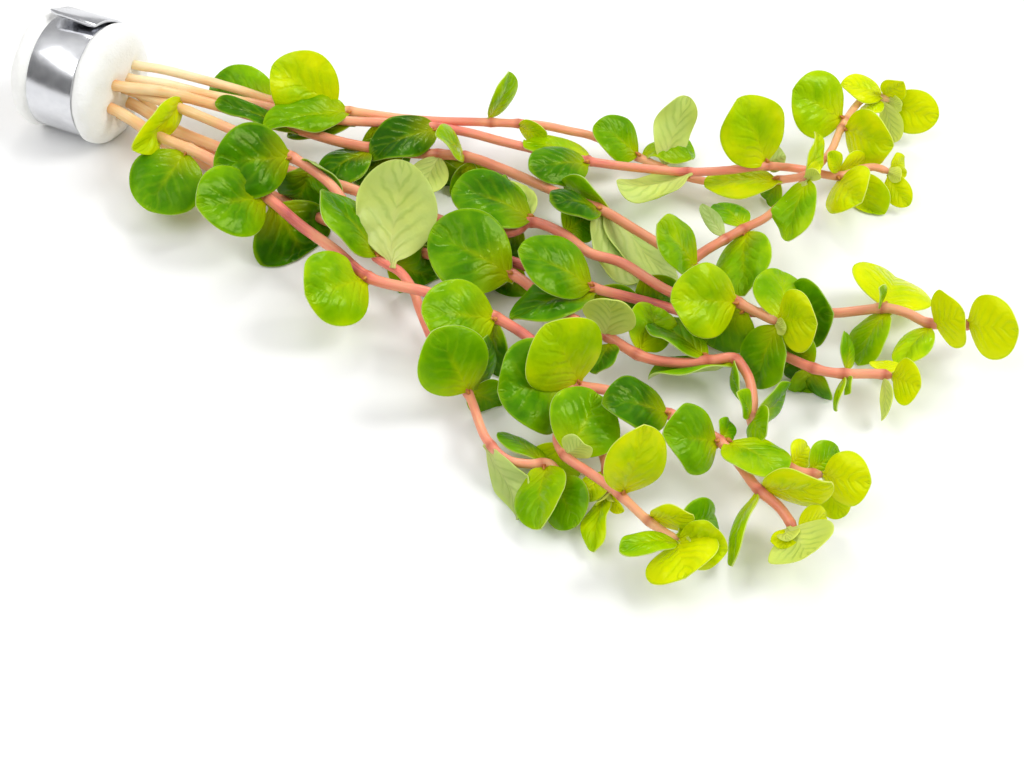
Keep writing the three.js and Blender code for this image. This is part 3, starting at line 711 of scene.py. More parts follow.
# patches, the rim and the bulges each shift the green a little along its scale
ripe = node(tree, "Math", blade["patch"], 0.7, -0.43, operation="MULTIPLY_ADD")
ripe = node(tree, "Math", blade["rim"], 0.08, ripe, operation="MULTIPLY_ADD")
ripe = node(tree, "Math", blade["blister"], 0.2, ripe, operation="MULTIPLY_ADD")
green = node(
    tree,
    "ValToRGB",
    node(tree, "Math", blade["age"], ripe, operation="ADD"),
    stops=[(0.0, "#1C5800"), (0.25, "#4A8E00"), (0.5, "#80B800"), (0.75, "#BCDC00"), (1.0, "#ECF204")],
)
# veins, midrib and foot are yellower, most of all on young leaves; the foot's yellow is partly the blade's
# own pale base and partly a painted glow of light through it
youth = node(tree, "Math", blade["age"], 0.45, 0.55, operation="MULTIPLY_ADD")
vein_share = node(tree, "Math", blade["vein"], 0.22, operation="MULTIPLY")
vein_share = node(tree, "Math", vein_share, youth, operation="MULTIPLY")
green = node(tree, "Mix", vein_share, green, linear("#B0D818"), data_type="RGBA")
yellow = node(tree, "Math", blade["rib"], 0.75, operation="MULTIPLY")
yellow = node(tree, "Math", yellow, blade["foot"], operation="MAXIMUM")
yellow = node(tree, "Math", yellow, youth, operation="MULTIPLY")
green = node(tree, "Mix", yellow, green, linear("#E6EA08"), data_type="RGBA")
# painted light: a thin lighter line along the rim stands for light glowing through the blade's edge
painted_rim_glow = node(tree, "Math", blade["edge"], 0.4, operation="MULTIPLY")
green = node(tree, "Mix", painted_rim_glow, green, linear("#B8E010"), data_type="RGBA")
through = node(tree, "Mix", 0.5, green, linear("#C8E800"), data_type="RGBA")
bump = blade_relief(tree, blade, heights=(-0.35, -0.3, 0.06), strength=0.65, depth=0.4)
skin = {"Roughness": 0.2, "Specular IOR Level": 0.36, "Specular Tint": linear("#ECFF90"), "Normal": bump}
blade_surface(tree, green, through, 0.28, skin)
print(leaf_upper.name, len(tree.nodes), "nodes")

# %% [markdown]
# ## Finish of the leaves' lower face
# The lower face is pale sage, because its skin has air under it, and it is duller. The midrib
# stands proud of it, nearly white, and the veins are a darker green net.

# %% Lower face
leaf_lower, tree = finish("pale_leaf_lower_face")
blade = blade_pattern(tree)
ripe = node(tree, "Math", blade["patch"], 0.5, -0.25, operation="MULTIPLY_ADD")
sage = node(
    tree,
    "ValToRGB",
    node(tree, "Math", blade["age"], ripe, operation="ADD"),
    stops=[(0.0, "#B0CC60"), (0.35, "#DCEE94"), (0.7, "#ECF68C"), (1.0, "#F4FA78")],
)
vein_share = node(tree, "Math", blade["vein"], 0.3, operation="MULTIPLY")
sage = node(tree, "Mix", vein_share, sage, linear("#96BC3C"), data_type="RGBA")
pale = node(tree, "Math", blade["rib"], 0.6, operation="MULTIPLY")
pale_foot = node(tree, "Math", blade["foot"], 0.6, operation="MULTIPLY")
pale = node(tree, "Math", pale, pale_foot, operation="MAXIMUM")
sage = node(tree, "Mix", pale, sage, linear("#EEF2A0"), data_type="RGBA")
bump = blade_relief(tree, blade, heights=(0.3, 0.6, 0.1), strength=0.7, depth=0.3)
skin = {"Roughness": 0.36, "Specular IOR Level": 0.4, "Normal": bump}
blade_surface(tree, sage, sage, 0.42, skin)
print(leaf_lower.name, len(tree.nodes), "nodes")

# %% [markdown]
# ## Finish of the stems
# A water stem is soft and full of water, with a smooth, wet skin over long fibres. Where it sat in
# the dark of the foam it is cream, further up it turns tan, peach and then salmon, and its joints
# are redder. The attributes blush, joint, tan and cut say how far a place is along that change,
# how near a joint is, how brown the stem is, and where the pale cut ends are. Two more give the
# way out from the stem's middle line and the reach along it, so the fibres run lengthwise.

# %% Stem skin
FIBRE = 3.2  # streaks for each radius: the real fibres are finer than can be seen from here
BLOTCH = 1 / (12 * MM)  # the red is stronger in places, about 12 mm apart

stem_skin, tree = finish("soft_stem_skin")
places = node(tree, "TexCoord").outputs["Object"]
blush, joint, cut, tan, streak_reach = [
    node(tree, "Attribute", attribute_name=name).outputs["Fac"]
    for name in ("blush", "joint", "cut", "tan", "reach")
]
outward = node(tree, "Attribute", attribute_name="outward").outputs["Vector"]
fibre = node(
    tree,
    "TexNoise",
    {"Vector": outward, "W": streak_reach, "Scale": FIBRE, "Detail": 3.0},
    noise_dimensions="4D",
)
blotch = node(tree, "TexNoise", {"Vector": places, "Scale": BLOTCH, "Detail": 3.0})
uneven = node(tree, "Math", blotch, 2.4, fibre, operation="MULTIPLY_ADD")
uneven = node(tree, "Math", uneven, 0.38, -0.64, operation="MULTIPLY_ADD")
colour = node(
    tree,
    "ValToRGB",
    node(tree, "Math", blush, uneven, operation="ADD"),
    stops=[(0.0, "#FAE6BA"), (0.28, "#F0C284"), (0.55, "#F4AC84"), (0.8, "#EE8A74"), (1.0, "#B85A58")],
)
tan_share = node(tree, "Math", tan, 0.5, operation="MULTIPLY")
colour = node(tree, "Mix", tan_share, colour, linear("#C48A58"), data_type="RGBA")
red_ring = node(tree, "MapRange", joint, 0.25, 1.0, 0.0, 0.6)
colour = node(tree, "Mix", red_ring, colour, linear("#B04830"), data_type="RGBA")
colour = node(tree, "Mix", cut, colour, linear("#EFE3B4"), data_type="RGBA")
bump = node(tree, "Bump", {"Height": fibre, "Strength": 0.4, "Distance": 0.15 * MM})
skin = node(
    tree,
    "BsdfPrincipled",
    {
        "Base Color": colour,
        "Roughness": 0.3,
        "IOR": 1.4,
        "Subsurface Weight": 0.3,
        "Subsurface Radius": (1.0, 0.4, 0.25),
        "Subsurface Scale": 1.0 * MM,
        "Normal": bump,
    },
)
node(tree, "OutputMaterial", skin)
print(stem_skin.name, len(tree.nodes), "nodes")

# %% Buds at the joints
BUD_SPOT = 1 / (0.5 * MM)

bud_skin, tree = finish("reddish_bud_skin")
places = node(tree, "TexCoord").outputs["Object"]
spots = node(tree, "TexNoise", {"Vector": places, "Scale": BUD_SPOT, "Detail": 2.0})
colour = node(tree, "ValToRGB", spots, stops=[(0.3, "#A4501E"), (0.7, "#D8943C")])
skin = node(tree, "BsdfPrincipled", {"Base Color": colour, "Roughness": 0.4, "IOR": 1.45})
node(tree, "OutputMaterial", skin)
print(bud_skin.name, len(tree.nodes), "nodes")

# %% [markdown]
# ## The leaf, modelled once
# All the leaves are one shape at several sizes: nearly round, a little narrower at the foot, with
# a short foot that clasps the stem. One flat grid is drawn to that outline row by row, its middle
# row is pressed down for the midrib, and Solidify gives it a thick, fleshy blade. Copies of it
# are then bent into place, each with its own mesh.


# %% Helpers for modelling
def alone(piece):
    """Select one piece only, and make it the active one."""
    bpy.ops.object.select_all(action="DESELECT")
    piece.select_set(True)
    bpy.context.view_layer.objects.active = piece


def pick(piece, test):
    """In edit mode, select the vertices that pass a test."""
    bpy.ops.mesh.select_mode(type="VERT")
    bpy.ops.mesh.select_all(action="DESELECT")
    shape = bmesh.from_edit_mesh(piece.data)
    for vertex in shape.verts:
        vertex.select = test(vertex.co)
    shape.select_flush(True)
    bmesh.update_edit_mesh(piece.data)


def apply_modifier(piece, kind, **settings):
    """Add a modifier, set it and apply it."""
    alone(piece)
    modifier = piece.modifiers.new(kind.lower(), kind)
    for name, value in settings.items():
        setattr(modifier, name, value)
    bpy.ops.object.modifier_apply(modifier=modifier.name)


def add_piece(name, mesh):
    """Put a mesh into the scene as a piece of its own."""
    piece = bpy.data.objects.new(name, mesh)
    bpy.context.collection.objects.link(piece)
    return piece


# %% Blade
LEAF_ROWS = 12
LEAF_COLUMNS = 8
LEAF_TAPER = 0.12
FOOT_WIDTH = 0.1  # the foot and the midrib's end are measured in half lengths of the leaf
FOOT_LENGTH = 0.16
RIB_END = 0.8
PATTERN_HALF = 7.5  # mm: half the length of the pattern leaf
BLADE_THICK = 0.34  # mm
RIB_DEPTH = 0.3  # mm
ALMOST = 1e-4  # a vertex this near a place is at it
PARKED = 10  # rows that are done wait this far away
SORTED_FROM = (0, -2, 0)  # beside the blade, so that the foot's edges follow each other across it

bpy.ops.object.select_all(action="DESELECT")
bpy.ops.mesh.primitive_grid_add(x_subdivisions=LEAF_ROWS, y_subdivisions=LEAF_COLUMNS, size=2)
leaf = bpy.context.object
leaf.name = "leaf_pattern"
bpy.ops.object.mode_set(mode="EDIT")
for j in range(1, LEAF_COLUMNS // 2):
    old = 2 * j / LEAF_COLUMNS
    new = math.sin(math.pi / 2 * old)
    pick(leaf, lambda c: abs(abs(c.y) - old) < ALMOST)
    bpy.ops.transform.resize(value=(1, new / old, 1), center_override=(0, 0, 0))
for i in range(LEAF_ROWS + 1):
    old = 2 * i / LEAF_ROWS - 1
    new = -math.cos(math.pi * i / LEAF_ROWS)
    width = math.sqrt(max(0, 1 - new * new)) * (1 - LEAF_TAPER * new * new)
    if i == 0:
        width = FOOT_WIDTH
    pick(leaf, lambda c: abs(c.x - old) < ALMOST)
    bpy.ops.transform.resize(value=(1, max(width, 1e-3), 1), center_override=(old, 0, 0))
    # a row that is done is moved away, so that no row is picked twice
    bpy.ops.transform.translate(value=(new - old + PARKED, 0, 0))
bpy.ops.mesh.select_all(action="SELECT")
bpy.ops.transform.translate(value=(-PARKED, 0, 0))
pick(leaf, lambda c: c.x > 0.999)
bpy.ops.mesh.merge(type="CENTER")
pick(leaf, lambda c: abs(c.y) < ALMOST and c.x < RIB_END)
bpy.ops.transform.translate(value=(0, 0, -RIB_DEPTH / PATTERN_HALF))
pick(leaf, lambda c: c.x < -0.999)
bpy.ops.mesh.extrude_region_move(TRANSFORM_OT_translate={"value": (-FOOT_LENGTH, 0, 0)})
# extruding leaves the foot's edges and faces in an order of chance, so they are sorted
pick(leaf, lambda c: c.x < -0.999)
bpy.context.scene.cursor.location = SORTED_FROM
bpy.ops.mesh.sort_elements(type="CURSOR_DISTANCE", elements={"EDGE", "FACE"})
bpy.context.scene.cursor.location = (0, 0, 0)
bpy.ops.object.mode_set(mode="OBJECT")
leaf.data.materials.append(leaf_upper)
leaf.data.materials.append(leaf_lower)
apply_modifier(
    leaf,
    "SOLIDIFY",
    thickness=BLADE_THICK / PATTERN_HALF,
    offset=-1,
    material_offset=1,
    material_offset_rim=1,
)
apply_modifier(leaf, "SUBSURF", levels=1, render_levels=1)
bpy.ops.object.shade_smooth()
print("pattern leaf:", len(leaf.data.polygons), "faces")

# %% [markdown]
# ## Bending a copy into place
# No two leaves lie alike. Each copy is arched along its midrib, its sides are bent down or up,
# its rim waves a little, and where it reaches the surface it is pressed flat on it. Where it meets
# a stem or a blade that is already there, it bends over it or under it, as soft leaves do. The
# numbers come from the table and from a seed of the leaf's own name, so every run gives the same
# bunch.

# %% Giving way to what is already there
HALF_BLADE = 0.35  # mm: half of each blade's thickness and a little air
GIVE = 3.0  # mm: the most that a blade gives way
SOFTNESS = 1.8  # mm over which it bends
STEM_REACH = 2.5  # mm out of the blade: a stem nearer than this counts
BLADE_REACH = 1.3  # mm: the same for another blade
BESIDE = 1.0  # mm in the blade's plane: what is nearer than this decides which way it moves
ROOT = 3  # mm: round its foot a blade touches its own stem
EVERY = 4  # one in so many points of a blade is enough to keep clear of it
ALIKE = 0.4  # blades that cross more steeply than this cosine are left to cross

taken = {}
for name, line in lines.items():
    taken[name] = (np.array(line), STEMS[name]["radius"], STEM_REACH, None)


def give_way(points, place):
    """Move a blade's middle surface off the stems and blades that are already there."""
    facing = np.array(place["facing"])
    for spots, radius, reach, alike in taken.values():
        if alike is not None and abs(facing @ alike) < ALIKE:
            continue
        off_root = np.linalg.norm(spots - np.array(place["base"]), axis=1)
        spots = spots[(off_root > ROOT) & (off_root < place["length"] + STEM_REACH)]
        if not len(spots):
            continue
        gaps = points[:, None] - spots[None]
        height = gaps @ facing
        aside = np.maximum((gaps ** 2).sum(axis=2) - height ** 2, 0)
        near = np.abs(height) < reach
        close = near & (aside < BESIDE ** 2)
        if not close.any():
            continue
        way = 1 if height[close].mean() > 0 else -1
        need = np.where(near, radius + HALF_BLADE - way * height, 0).clip(0, GIVE)
        push = (need * np.exp(-aside / SOFTNESS ** 2)).max(axis=1)
        points += way * push[:, None] * facing
    return points


print("the blades keep clear of", len(taken), "stems and of each other")


# %% Leaf at its place
ARCH = 1.4  # mm that the middle of a full-sized leaf rises
CUP = -0.9  # mm that its sides bend, here downwards
WAVE = (0.3, 0.9)  # least and most that leaves differ by in each way, in mm but for the skew
FOLD = (-0.4, 1.3)
PUFF = (0.2, 0.8)
SKEW = (-0.1, 0.1)
TWIST = (-1.3, 1.3)
CURL = (-1.0, 0.7)
LOBES = (2, 3, 3, 4)  # waves round the rim
DENT = 0.22  # mm: the blade is nowhere quite even
DENT_SIZE = 3.5
FLOOR_CLEAR = 0.45  # mm from the surface to the blade's upper face where it lies flat
LEAF_FLOOR = 0.03  # mm: nothing of a leaf is lower than this
AGE_SPREAD = 0.06


def put_attribute(mesh, name, values):
    """One number for each vertex, for the finishes to read."""
    mesh.attributes.new(name, "FLOAT", "POINT").data.foreach_set("value", values)


def bent_leaf(name, place, arch=ARCH, cup=CUP):
    """A copy of the pattern leaf, bent and laid along a frame."""
    length, width = place["length"], place["width"]
    chance = random.Random(name)
    size = min(1, length / (2 * PATTERN_HALF))
    wave = chance.uniform(*WAVE) * size
    lobes = chance.choice(LOBES)
    phase = chance.uniform(0, math.tau)
    fold = chance.uniform(*FOLD) * size
    puff = chance.uniform(*PUFF) * size
    skew = chance.uniform(*SKEW)
    twist = chance.uniform(*TWIST) * size
    curl = chance.uniform(*CURL) * size
    uneven = chance.uniform(0, 100)
    mesh = leaf.data.copy()
    middles = []
    for vertex in mesh.vertices:
        x, y = vertex.co.xy
        u = (1 + x) / 2
        rim = min(1, x * x + y * y)
        # near its foot the blade is held by the stem, so it keeps its plain shape there
        free = min(1, 2 * max(0, u))
        rise = arch * 4 * u * (1 - u) * size + cup * y * y * size
        rise += wave * rim * rim * math.sin(lobes * math.atan2(y, x) + phase) * free
        rise += (fold * abs(y) + puff * 4 * abs(y) * (1 - abs(y))) * free
        rise += twist * u * u * y + curl * max(0, u) ** 3
        spot = Vector((u * length, y * width / 2, uneven)) / DENT_SIZE
        rise += DENT * noise.noise(spot) * free
        point = place["base"] + place["along"] * (u * length)
        point += place["across"] * ((y + skew * x * rim) * width / 2)
        middles.append(point + place["facing"] * rise)
    middles = give_way(np.array(middles), place)
    taken[name] = (middles[::EVERY], 0.0, BLADE_REACH, np.array(place["facing"]))
    for vertex, middle in zip(mesh.vertices, middles):
        point = Vector(middle)
        point.z = max(point.z, FLOOR_CLEAR)
        # a smaller leaf is thinner, down to half the thickness
        point += place["facing"] * (vertex.co.z * PATTERN_HALF * (0.5 + 0.5 * size))
        point.z = max(point.z, LEAF_FLOOR)
        vertex.co = point * MM
    age = place["age"] + chance.uniform(-AGE_SPREAD, AGE_SPREAD)
    put_attribute(mesh, "age", [age] * len(mesh.vertices))
    return add_piece(name, mesh)


# %% The larger leaves
for stem, rows in LEAVES.items():
    for i, row in enumerate(rows, 1):
        piece = bent_leaf(f"blade_{stem}_{i}", leaf_frame(stem, row))
        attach(piece, "root")
        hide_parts(f"{stem}_leaf_{i}")
    print(stem, len(rows), "leaves")

# %% [markdown]
# ## The stems
# A stem could be a chain of cylinders, but it is one soft tube that swells at each joint. A curve
# does this: it runs through the middle line's points, each point has its own radius, and Bevel
# makes it round. Turned into a mesh, it takes up its small leaves, its buds and the young leaves
# round its tip, because they grow in one piece with it.


# %% Joints along a stem
ONE_JOINT = 2.5  # mm: leaves nearer together than this grow from one joint
BARE_SPACE = 13  # mm between the joints whose leaves were taken off
BARE_START = 30  # mm from the cut end: the foam hides the joints before it
BARE_SHARE = 0.3  # how much of the usual swelling and colour the bare joints have
JOINT_LENGTH = 0.9  # mm


def joints_of(name):
    """Reach in mm of each joint along a stem, and how marked it is."""
    step = STEMS[name]["step"]
    rows = LEAVES.get(name, []) + SMALL_LEAVES.get(name, [])
    reaches = sorted(nearest_on(name, *row[:2]) * step for row in rows)
    joints = []
    for reach in reaches:
        if not joints or reach - joints[-1][0] > ONE_JOINT:
            joints.append((reach, 1))
    bare = joints[0][0] - BARE_SPACE
    while "slot" in STEMS[name] and bare > BARE_START:
        joints.append((bare, BARE_SHARE))
        bare -= BARE_SPACE
    return joints


def joint_share(reach, joints):
    """How near a place is to a joint, from 0 to 1."""
    return max(mark * math.exp(-(((reach - at) / JOINT_LENGTH) ** 2)) for at, mark in joints)


print("joints of stem_8, mm from its cut end:", sorted(round(at) for at, mark in joints_of("stem_8")))

# %% Thickness and colour along a stem
SLIMNESS = {"stem_1": 0.84, "stem_2": 0.9, "stem_8": 0.92}
START_THICK = 1.06  # of the stem's radius, where it begins
THINNING = 0.26  # how much of the radius is lost up to the tip
TIP_ROUND = 1.5  # mm of the tip that narrow to the next share
TIP_THICK = 0.45
JOINT_SWELL = 0.2
CREAM_LENGTH = 34  # mm of a stem that stayed pale in the dark of the foam
PEACH_LENGTH = 40  # mm over which it then reddens
TIP_LENGTH = 30  # mm over which it grows paler again towards its tip
TIP_PALE = 0.2
REDNESS = {"stem_1": 0.6, "stem_2": 0.68, "stem_3": 0.72, "stem_5": 0.83, "stem_7": 0.78}
USUAL_REDNESS = 0.74
# stem_1 gets no red near the foam: partly its own cream and partly a painted highlight on the top stem of
# the bunch
CREAM = {"stem_1": 0.0, "stem_2": 0.05}  # redness of the part near the foam
USUAL_CREAM = 0.24
TAN = {"stem_3": 0.9, "side_shoot_1": 0.9, "stem_4": 0.3, "stem_6": 0.5}
STREAK_LENGTH = 20  # mm: the streaks change this slowly along the stem


def along_stem(name):
    """For each point of a stem's middle line, its radius and what its finish reads there."""
    stem = STEMS[name]
    joints = joints_of(name)
    count = len(lines[name])
    full = stem["step"] * (count - 1)
    start = CREAM_LENGTH if "slot" in stem else -PEACH_LENGTH
    cream = CREAM.get(name, USUAL_CREAM)
    rows = []
    for i in range(count):
        reach = i * stem["step"]
        to_tip = full - reach
        near = joint_share(reach, joints)
        thick = SLIMNESS.get(name, 1) * (START_THICK - THINNING * reach / full)
        if to_tip < TIP_ROUND:
            thick *= TIP_THICK + (1 - TIP_THICK) * to_tip / TIP_ROUND
        change = min(1, max(0, (reach - start) / PEACH_LENGTH))
        redness = REDNESS.get(name, USUAL_REDNESS) - TIP_PALE * max(0, 1 - to_tip / TIP_LENGTH)
        row = {
            "radius": stem["radius"] * thick * (1 + JOINT_SWELL * near),
            "reach": reach / STREAK_LENGTH,
            "blush": cream + (redness - cream) * change,
            "joint": near * change,
            "tan": TAN.get(name, 0) * change,
            "cut": float(i == 0),
        }
        rows.append(row)
    return rows


radii = [row["radius"] for row in along_stem("stem_8")]
print("radius of stem_8, mm:", round(min(radii), 2), "to", round(max(radii), 2))


# %% Tube of a stem
def stem_tube(name):
    """The stem as a mesh tube along its middle line, with its attributes."""
    line = lines[name]
    rows = along_stem(name)
    bpy.ops.object.select_all(action="DESELECT")
    bpy.ops.curve.primitive_nurbs_path_add()
    tube = bpy.context.object
    tube.name = name + "_tube"
    spline = tube.data.splines[0]
    spline.type = "POLY"
    spline.points.add(len(line) - len(spline.points))
    for point, place, row in zip(spline.points, line, rows):
        point.co = (*(place * MM), 1)
        point.radius = row["radius"]
    tube.data.bevel_depth = MM
    tube.data.bevel_resolution = 3
    tube.data.use_fill_caps = True
    bpy.ops.object.convert(target="MESH")
    bpy.ops.object.mode_set(mode="EDIT")
    bpy.ops.mesh.select_all(action="SELECT")
    bpy.ops.mesh.remove_doubles(threshold=0.001 * MM)
    bpy.ops.mesh.normals_make_consistent(inside=False)
    bpy.ops.object.mode_set(mode="OBJECT")
    bpy.ops.object.shade_smooth()
    places = KDTree(len(line))
    for i, place in enumerate(line):
        places.insert(place * MM, i)
    places.balance()
    nearest = [places.find(vertex.co)[1] for vertex in tube.data.vertices]
    outward = []
    for vertex, i in zip(tube.data.vertices, nearest):
        outward.extend((vertex.co / MM - line[i]).normalized())
    tube.data.attributes.new("outward", "FLOAT_VECTOR", "POINT").data.foreach_set("vector", outward)
    for key in ("reach", "blush", "joint", "tan", "cut"):
        put_attribute(tube.data, key, [rows[i][key] for i in nearest])
    tube.data.materials.append(stem_skin)
    return tube


# %% Bud in the angle of a leaf
BUD_SIZE = 0.55  # mm: its radius before it is drawn out
BUD_OUT = 0.45  # mm out of the leaf's base
BUD_ALONG = 0.2  # mm along the leaf

bpy.ops.object.select_all(action="DESELECT")
bpy.ops.mesh.primitive_ico_sphere_add(subdivisions=2, radius=BUD_SIZE)
bud = bpy.context.object
bud.name = "bud_pattern"
bpy.ops.object.mode_set(mode="EDIT")
bpy.ops.mesh.select_all(action="SELECT")
bpy.ops.transform.resize(value=(1.5, 0.8, 0.7))
pick(bud, lambda c: c.x > 0.4 * BUD_SIZE)
bpy.ops.transform.resize(value=(1, 0.5, 0.5), center_override=(0, 0, 0))
bpy.ops.object.mode_set(mode="OBJECT")
bpy.ops.object.shade_smooth()
bud.data.materials.append(bud_skin)


def bud_at(name, place):
    """A bud between the stem and the upper face of a leaf."""
    middle = place["base"] + place["facing"] * BUD_OUT + place["along"] * BUD_ALONG
    mesh = bud.data.copy()
    for vertex in mesh.vertices:
        x, y, z = vertex.co
        point = middle + place["along"] * x + place["across"] * y + place["facing"] * z
        vertex.co = point * MM
    return add_piece(name, mesh)


print("bud:", len(bud.data.polygons), "faces")

# %% Young leaves that close a tip
TIP_PAIRS = [(4.2, 3.2, 38, 0), (2.6, 1.8, 18, 90)]  # length, width, lean and turn of each pair
TIP_TURN = 30  # degrees that the whole tip is turned
TIP_SUNK = 0.4  # mm
TIP_AGE = 0.95


def tip_leaves(name):
    """Two small pairs round the end of a stem, one across the other."""
    end = lines[name][-1]
    tangent = tangent_at(name, len(lines[name]) - 1)
    aside = tangent.cross(Vector((0, 0, 1))).normalized()
    upward = aside.cross(tangent)
    found = []
    for length, width, lean, turn in TIP_PAIRS:
        for half in (0, 180):
            angle = math.radians(turn + half + TIP_TURN)
            out = aside * math.cos(angle) + upward * math.sin(angle)
            along = tangent * math.cos(math.radians(lean)) + out * math.sin(math.radians(lean))
            facing = (tangent - along * tangent.dot(along)).normalized()
            place = {
                "base": end - tangent * TIP_SUNK,
                "along": along,
                "across": facing.cross(along),
                "facing": facing,
                "length": length,
                "width": width,
                "age": TIP_AGE,
            }
            found.append(bent_leaf(f"{name}_tip_{turn}_{half}", place, arch=0.8, cup=1.2))
    return found


print("each tip is closed by", 2 * len(TIP_PAIRS), "young leaves")


# %% Every stem with what grows on it
for name in STEMS:
    parts = [stem_tube(name)]
    for i, row in enumerate(SMALL_LEAVES.get(name, []) + UNDER_LEAVES.get(name, [])):
        parts.append(bent_leaf(f"{name}_small_{i}", leaf_frame(name, row)))
    for i, row in enumerate(LEAVES.get(name, [])):
        parts.append(bud_at(f"{name}_bud_{i}", leaf_frame(name, row)))
    parts += tip_leaves(name)
    alone(parts[0])
    for part in parts:
        part.select_set(True)
    bpy.ops.object.join()
    piece = bpy.context.object
    piece.name = name + "_grown"
    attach(piece, "root")
    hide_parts(name)
    print(f"{piece.name}: {len(parts)} parts, {len(piece.data.polygons)} faces")

for pattern in (leaf, bud):
    bpy.data.objects.remove(pattern)

# %% [markdown]
# ## Finish of the foam
# The wad is white open-cell polyurethane foam. Its cells are about 0.4 mm, so from here they show only as a
# fine, dull grain. The cells scatter light, so the foam looks soft and almost without gloss. It is a little
# creamier and darker in its hollows, as a faint painted shade.

# %% Foam cells
CELL = 1 / (0.5 * MM)  # a little coarser than the real cells, so that they show
HOLLOW = 1 / (4 * MM)

foam_cells, tree = finish("white_open_cell_foam")
places = node(tree, "TexCoord").outputs["Object"]
cells = node(tree, "TexVoronoi", {"Vector": places, "Scale": CELL, "Randomness": 1.0})
hollows = node(tree, "TexNoise", {"Vector": places, "Scale": HOLLOW, "Detail": 3.0})
# painted shade: the low places of the hollows' noise, which the bump also sinks, are a little creamier and
# darker
colour = node(tree, "ValToRGB", hollows, stops=[(0.3, "#FAFAF6"), (0.7, "#FFFFFD")])
height = node(tree, "Math", hollows, 0.8, cells, operation="MULTIPLY_ADD")
bump = node(tree, "Bump", {"Height": height, "Strength": 0.35, "Distance": 0.2 * MM})
skin = node(
    tree,
    "BsdfPrincipled",
    {"Base Color": colour, "Roughness": 0.95, "IOR": 1.3, "Normal": bump},
)
node(tree, "OutputMaterial", skin)
print(foam_cells.name, len(tree.nodes), "nodes")

# %% [markdown]
# ## The foam
# The foam could be a plain cylinder, but the strip squeezes its middle, so it swells out on both
# sides of the strip, and its ends bulge where the stems go through. One ring is extruded and
# resized along the wad's profile, then smoothed, made a little lumpy, dimpled round each stem,
# and pressed flat where it rests.

# %% Wad of foam
FOAM_SIDES = 40
CLOSED = 1.6  # mm: a ring smaller than this is closed to a point
LUMP_SIZE = 6  # mm
LUMP_HEIGHT = 0.6  # mm
# mm along the bunch from the middle, and radius
HALF_PROFILE = [
    (2.5, 11.2), (5.3, 11.4), (5.8, 12.3), (6.5, 12.75), (7.6, 12.7), (8.7, 12.1), (9.6, 10.9),
    (10.3, 9.2), (10.7, 7), (11, 4.5), (11, 1.5),
]
FOAM_PROFILE = [(-x, r) for x, r in reversed(HALF_PROFILE)] + HALF_PROFILE

bpy.ops.object.select_all(action="DESELECT")
bpy.ops.mesh.primitive_circle_add(
    vertices=FOAM_SIDES,
    radius=FOAM_PROFILE[0][1] * MM,
    location=(FOAM_PROFILE[0][0] * MM, 0, COLLAR_AXIS * MM),
    rotation=(0, math.pi / 2, 0),
)
foam = bpy.context.object
foam.name = "foam_wad"
bpy.ops.object.transform_apply(location=True, rotation=True, scale=True)
bpy.ops.object.mode_set(mode="EDIT")
bpy.ops.mesh.select_mode(type="EDGE")
bpy.ops.mesh.select_all(action="SELECT")
for (x0, r0), (x1, r1) in zip(FOAM_PROFILE, FOAM_PROFILE[1:]):
    bpy.ops.mesh.extrude_region_move(TRANSFORM_OT_translate={"value": ((x1 - x0) * MM, 0, 0)})
    middle = (x1 * MM, 0, COLLAR_AXIS * MM)
    bpy.ops.transform.resize(value=(1, r1 / r0, r1 / r0), center_override=middle)
foam_axis = Vector((0, COLLAR_AXIS * MM))
for end in (-1, 1):
    pick(foam, lambda c: (c.yz - foam_axis).length < CLOSED * MM and c.x * end > 0)
    bpy.ops.mesh.merge(type="CENTER")
bpy.ops.mesh.select_all(action="SELECT")
bpy.ops.mesh.normals_make_consistent(inside=False)
bpy.ops.object.mode_set(mode="OBJECT")
apply_modifier(foam, "SUBSURF", levels=2, render_levels=2)
lumps = bpy.data.textures.new("foam_lumps", "CLOUDS")
lumps.noise_scale = LUMP_SIZE * MM
apply_modifier(
    foam,
    "DISPLACE",
    texture=lumps,
    strength=LUMP_HEIGHT * MM,
    mid_level=0.5,
    texture_coords="LOCAL",
)
print("foam before it is pressed flat, mm:", [round(c / MM, 1) for c in foam.dimensions])

# %% Dimples and flats of the foam
DIMPLE = 0.9  # mm deep
DIMPLE_WIDTH = 1.7  # mm
STRIP_THICK = 0.6  # mm
SQUEEZED = 5.5  # mm each way from the middle: here the foam rests on the strip
OVER_STRIP = 0.1  # mm between the two
FLOOR_GAP = 0.02  # mm: foam and strip stay this far above the surface

for vertex in foam.data.vertices:
    x, y, z = vertex.co / MM
    for stem in STEMS.values():
        if "slot" in stem:
            off = math.hypot(y - stem["slot"][0], z - COLLAR_AXIS - stem["slot"][1])
            x -= math.copysign(DIMPLE * math.exp(-((off / DIMPLE_WIDTH) ** 2)), x)
    z = max(z, STRIP_THICK + OVER_STRIP if abs(x) < SQUEEZED else FLOOR_GAP)
    vertex.co = Vector((x, y, z)) * MM
alone(foam)
bpy.ops.object.shade_smooth()
foam.data.materials.append(foam_cells)
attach(foam, "root")
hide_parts("foam_collar")
print("foam:", len(foam.data.polygons), "faces")

# %% [markdown]
# ## Finish of the strip
# The strip is soft rolled metal, a zinc or lead alloy, thin enough to bend by hand. Rolling leaves
# faint lines along its length, and handling leaves fine scuffs, so its mirror is a little soft.

# %% Rolled metal
ROLLING = (1 / (0.25 * MM), 1 / (25 * MM), 1 / (25 * MM))  # lines 0.25 mm apart and 25 mm long
SCUFF = 1 / (2 * MM)

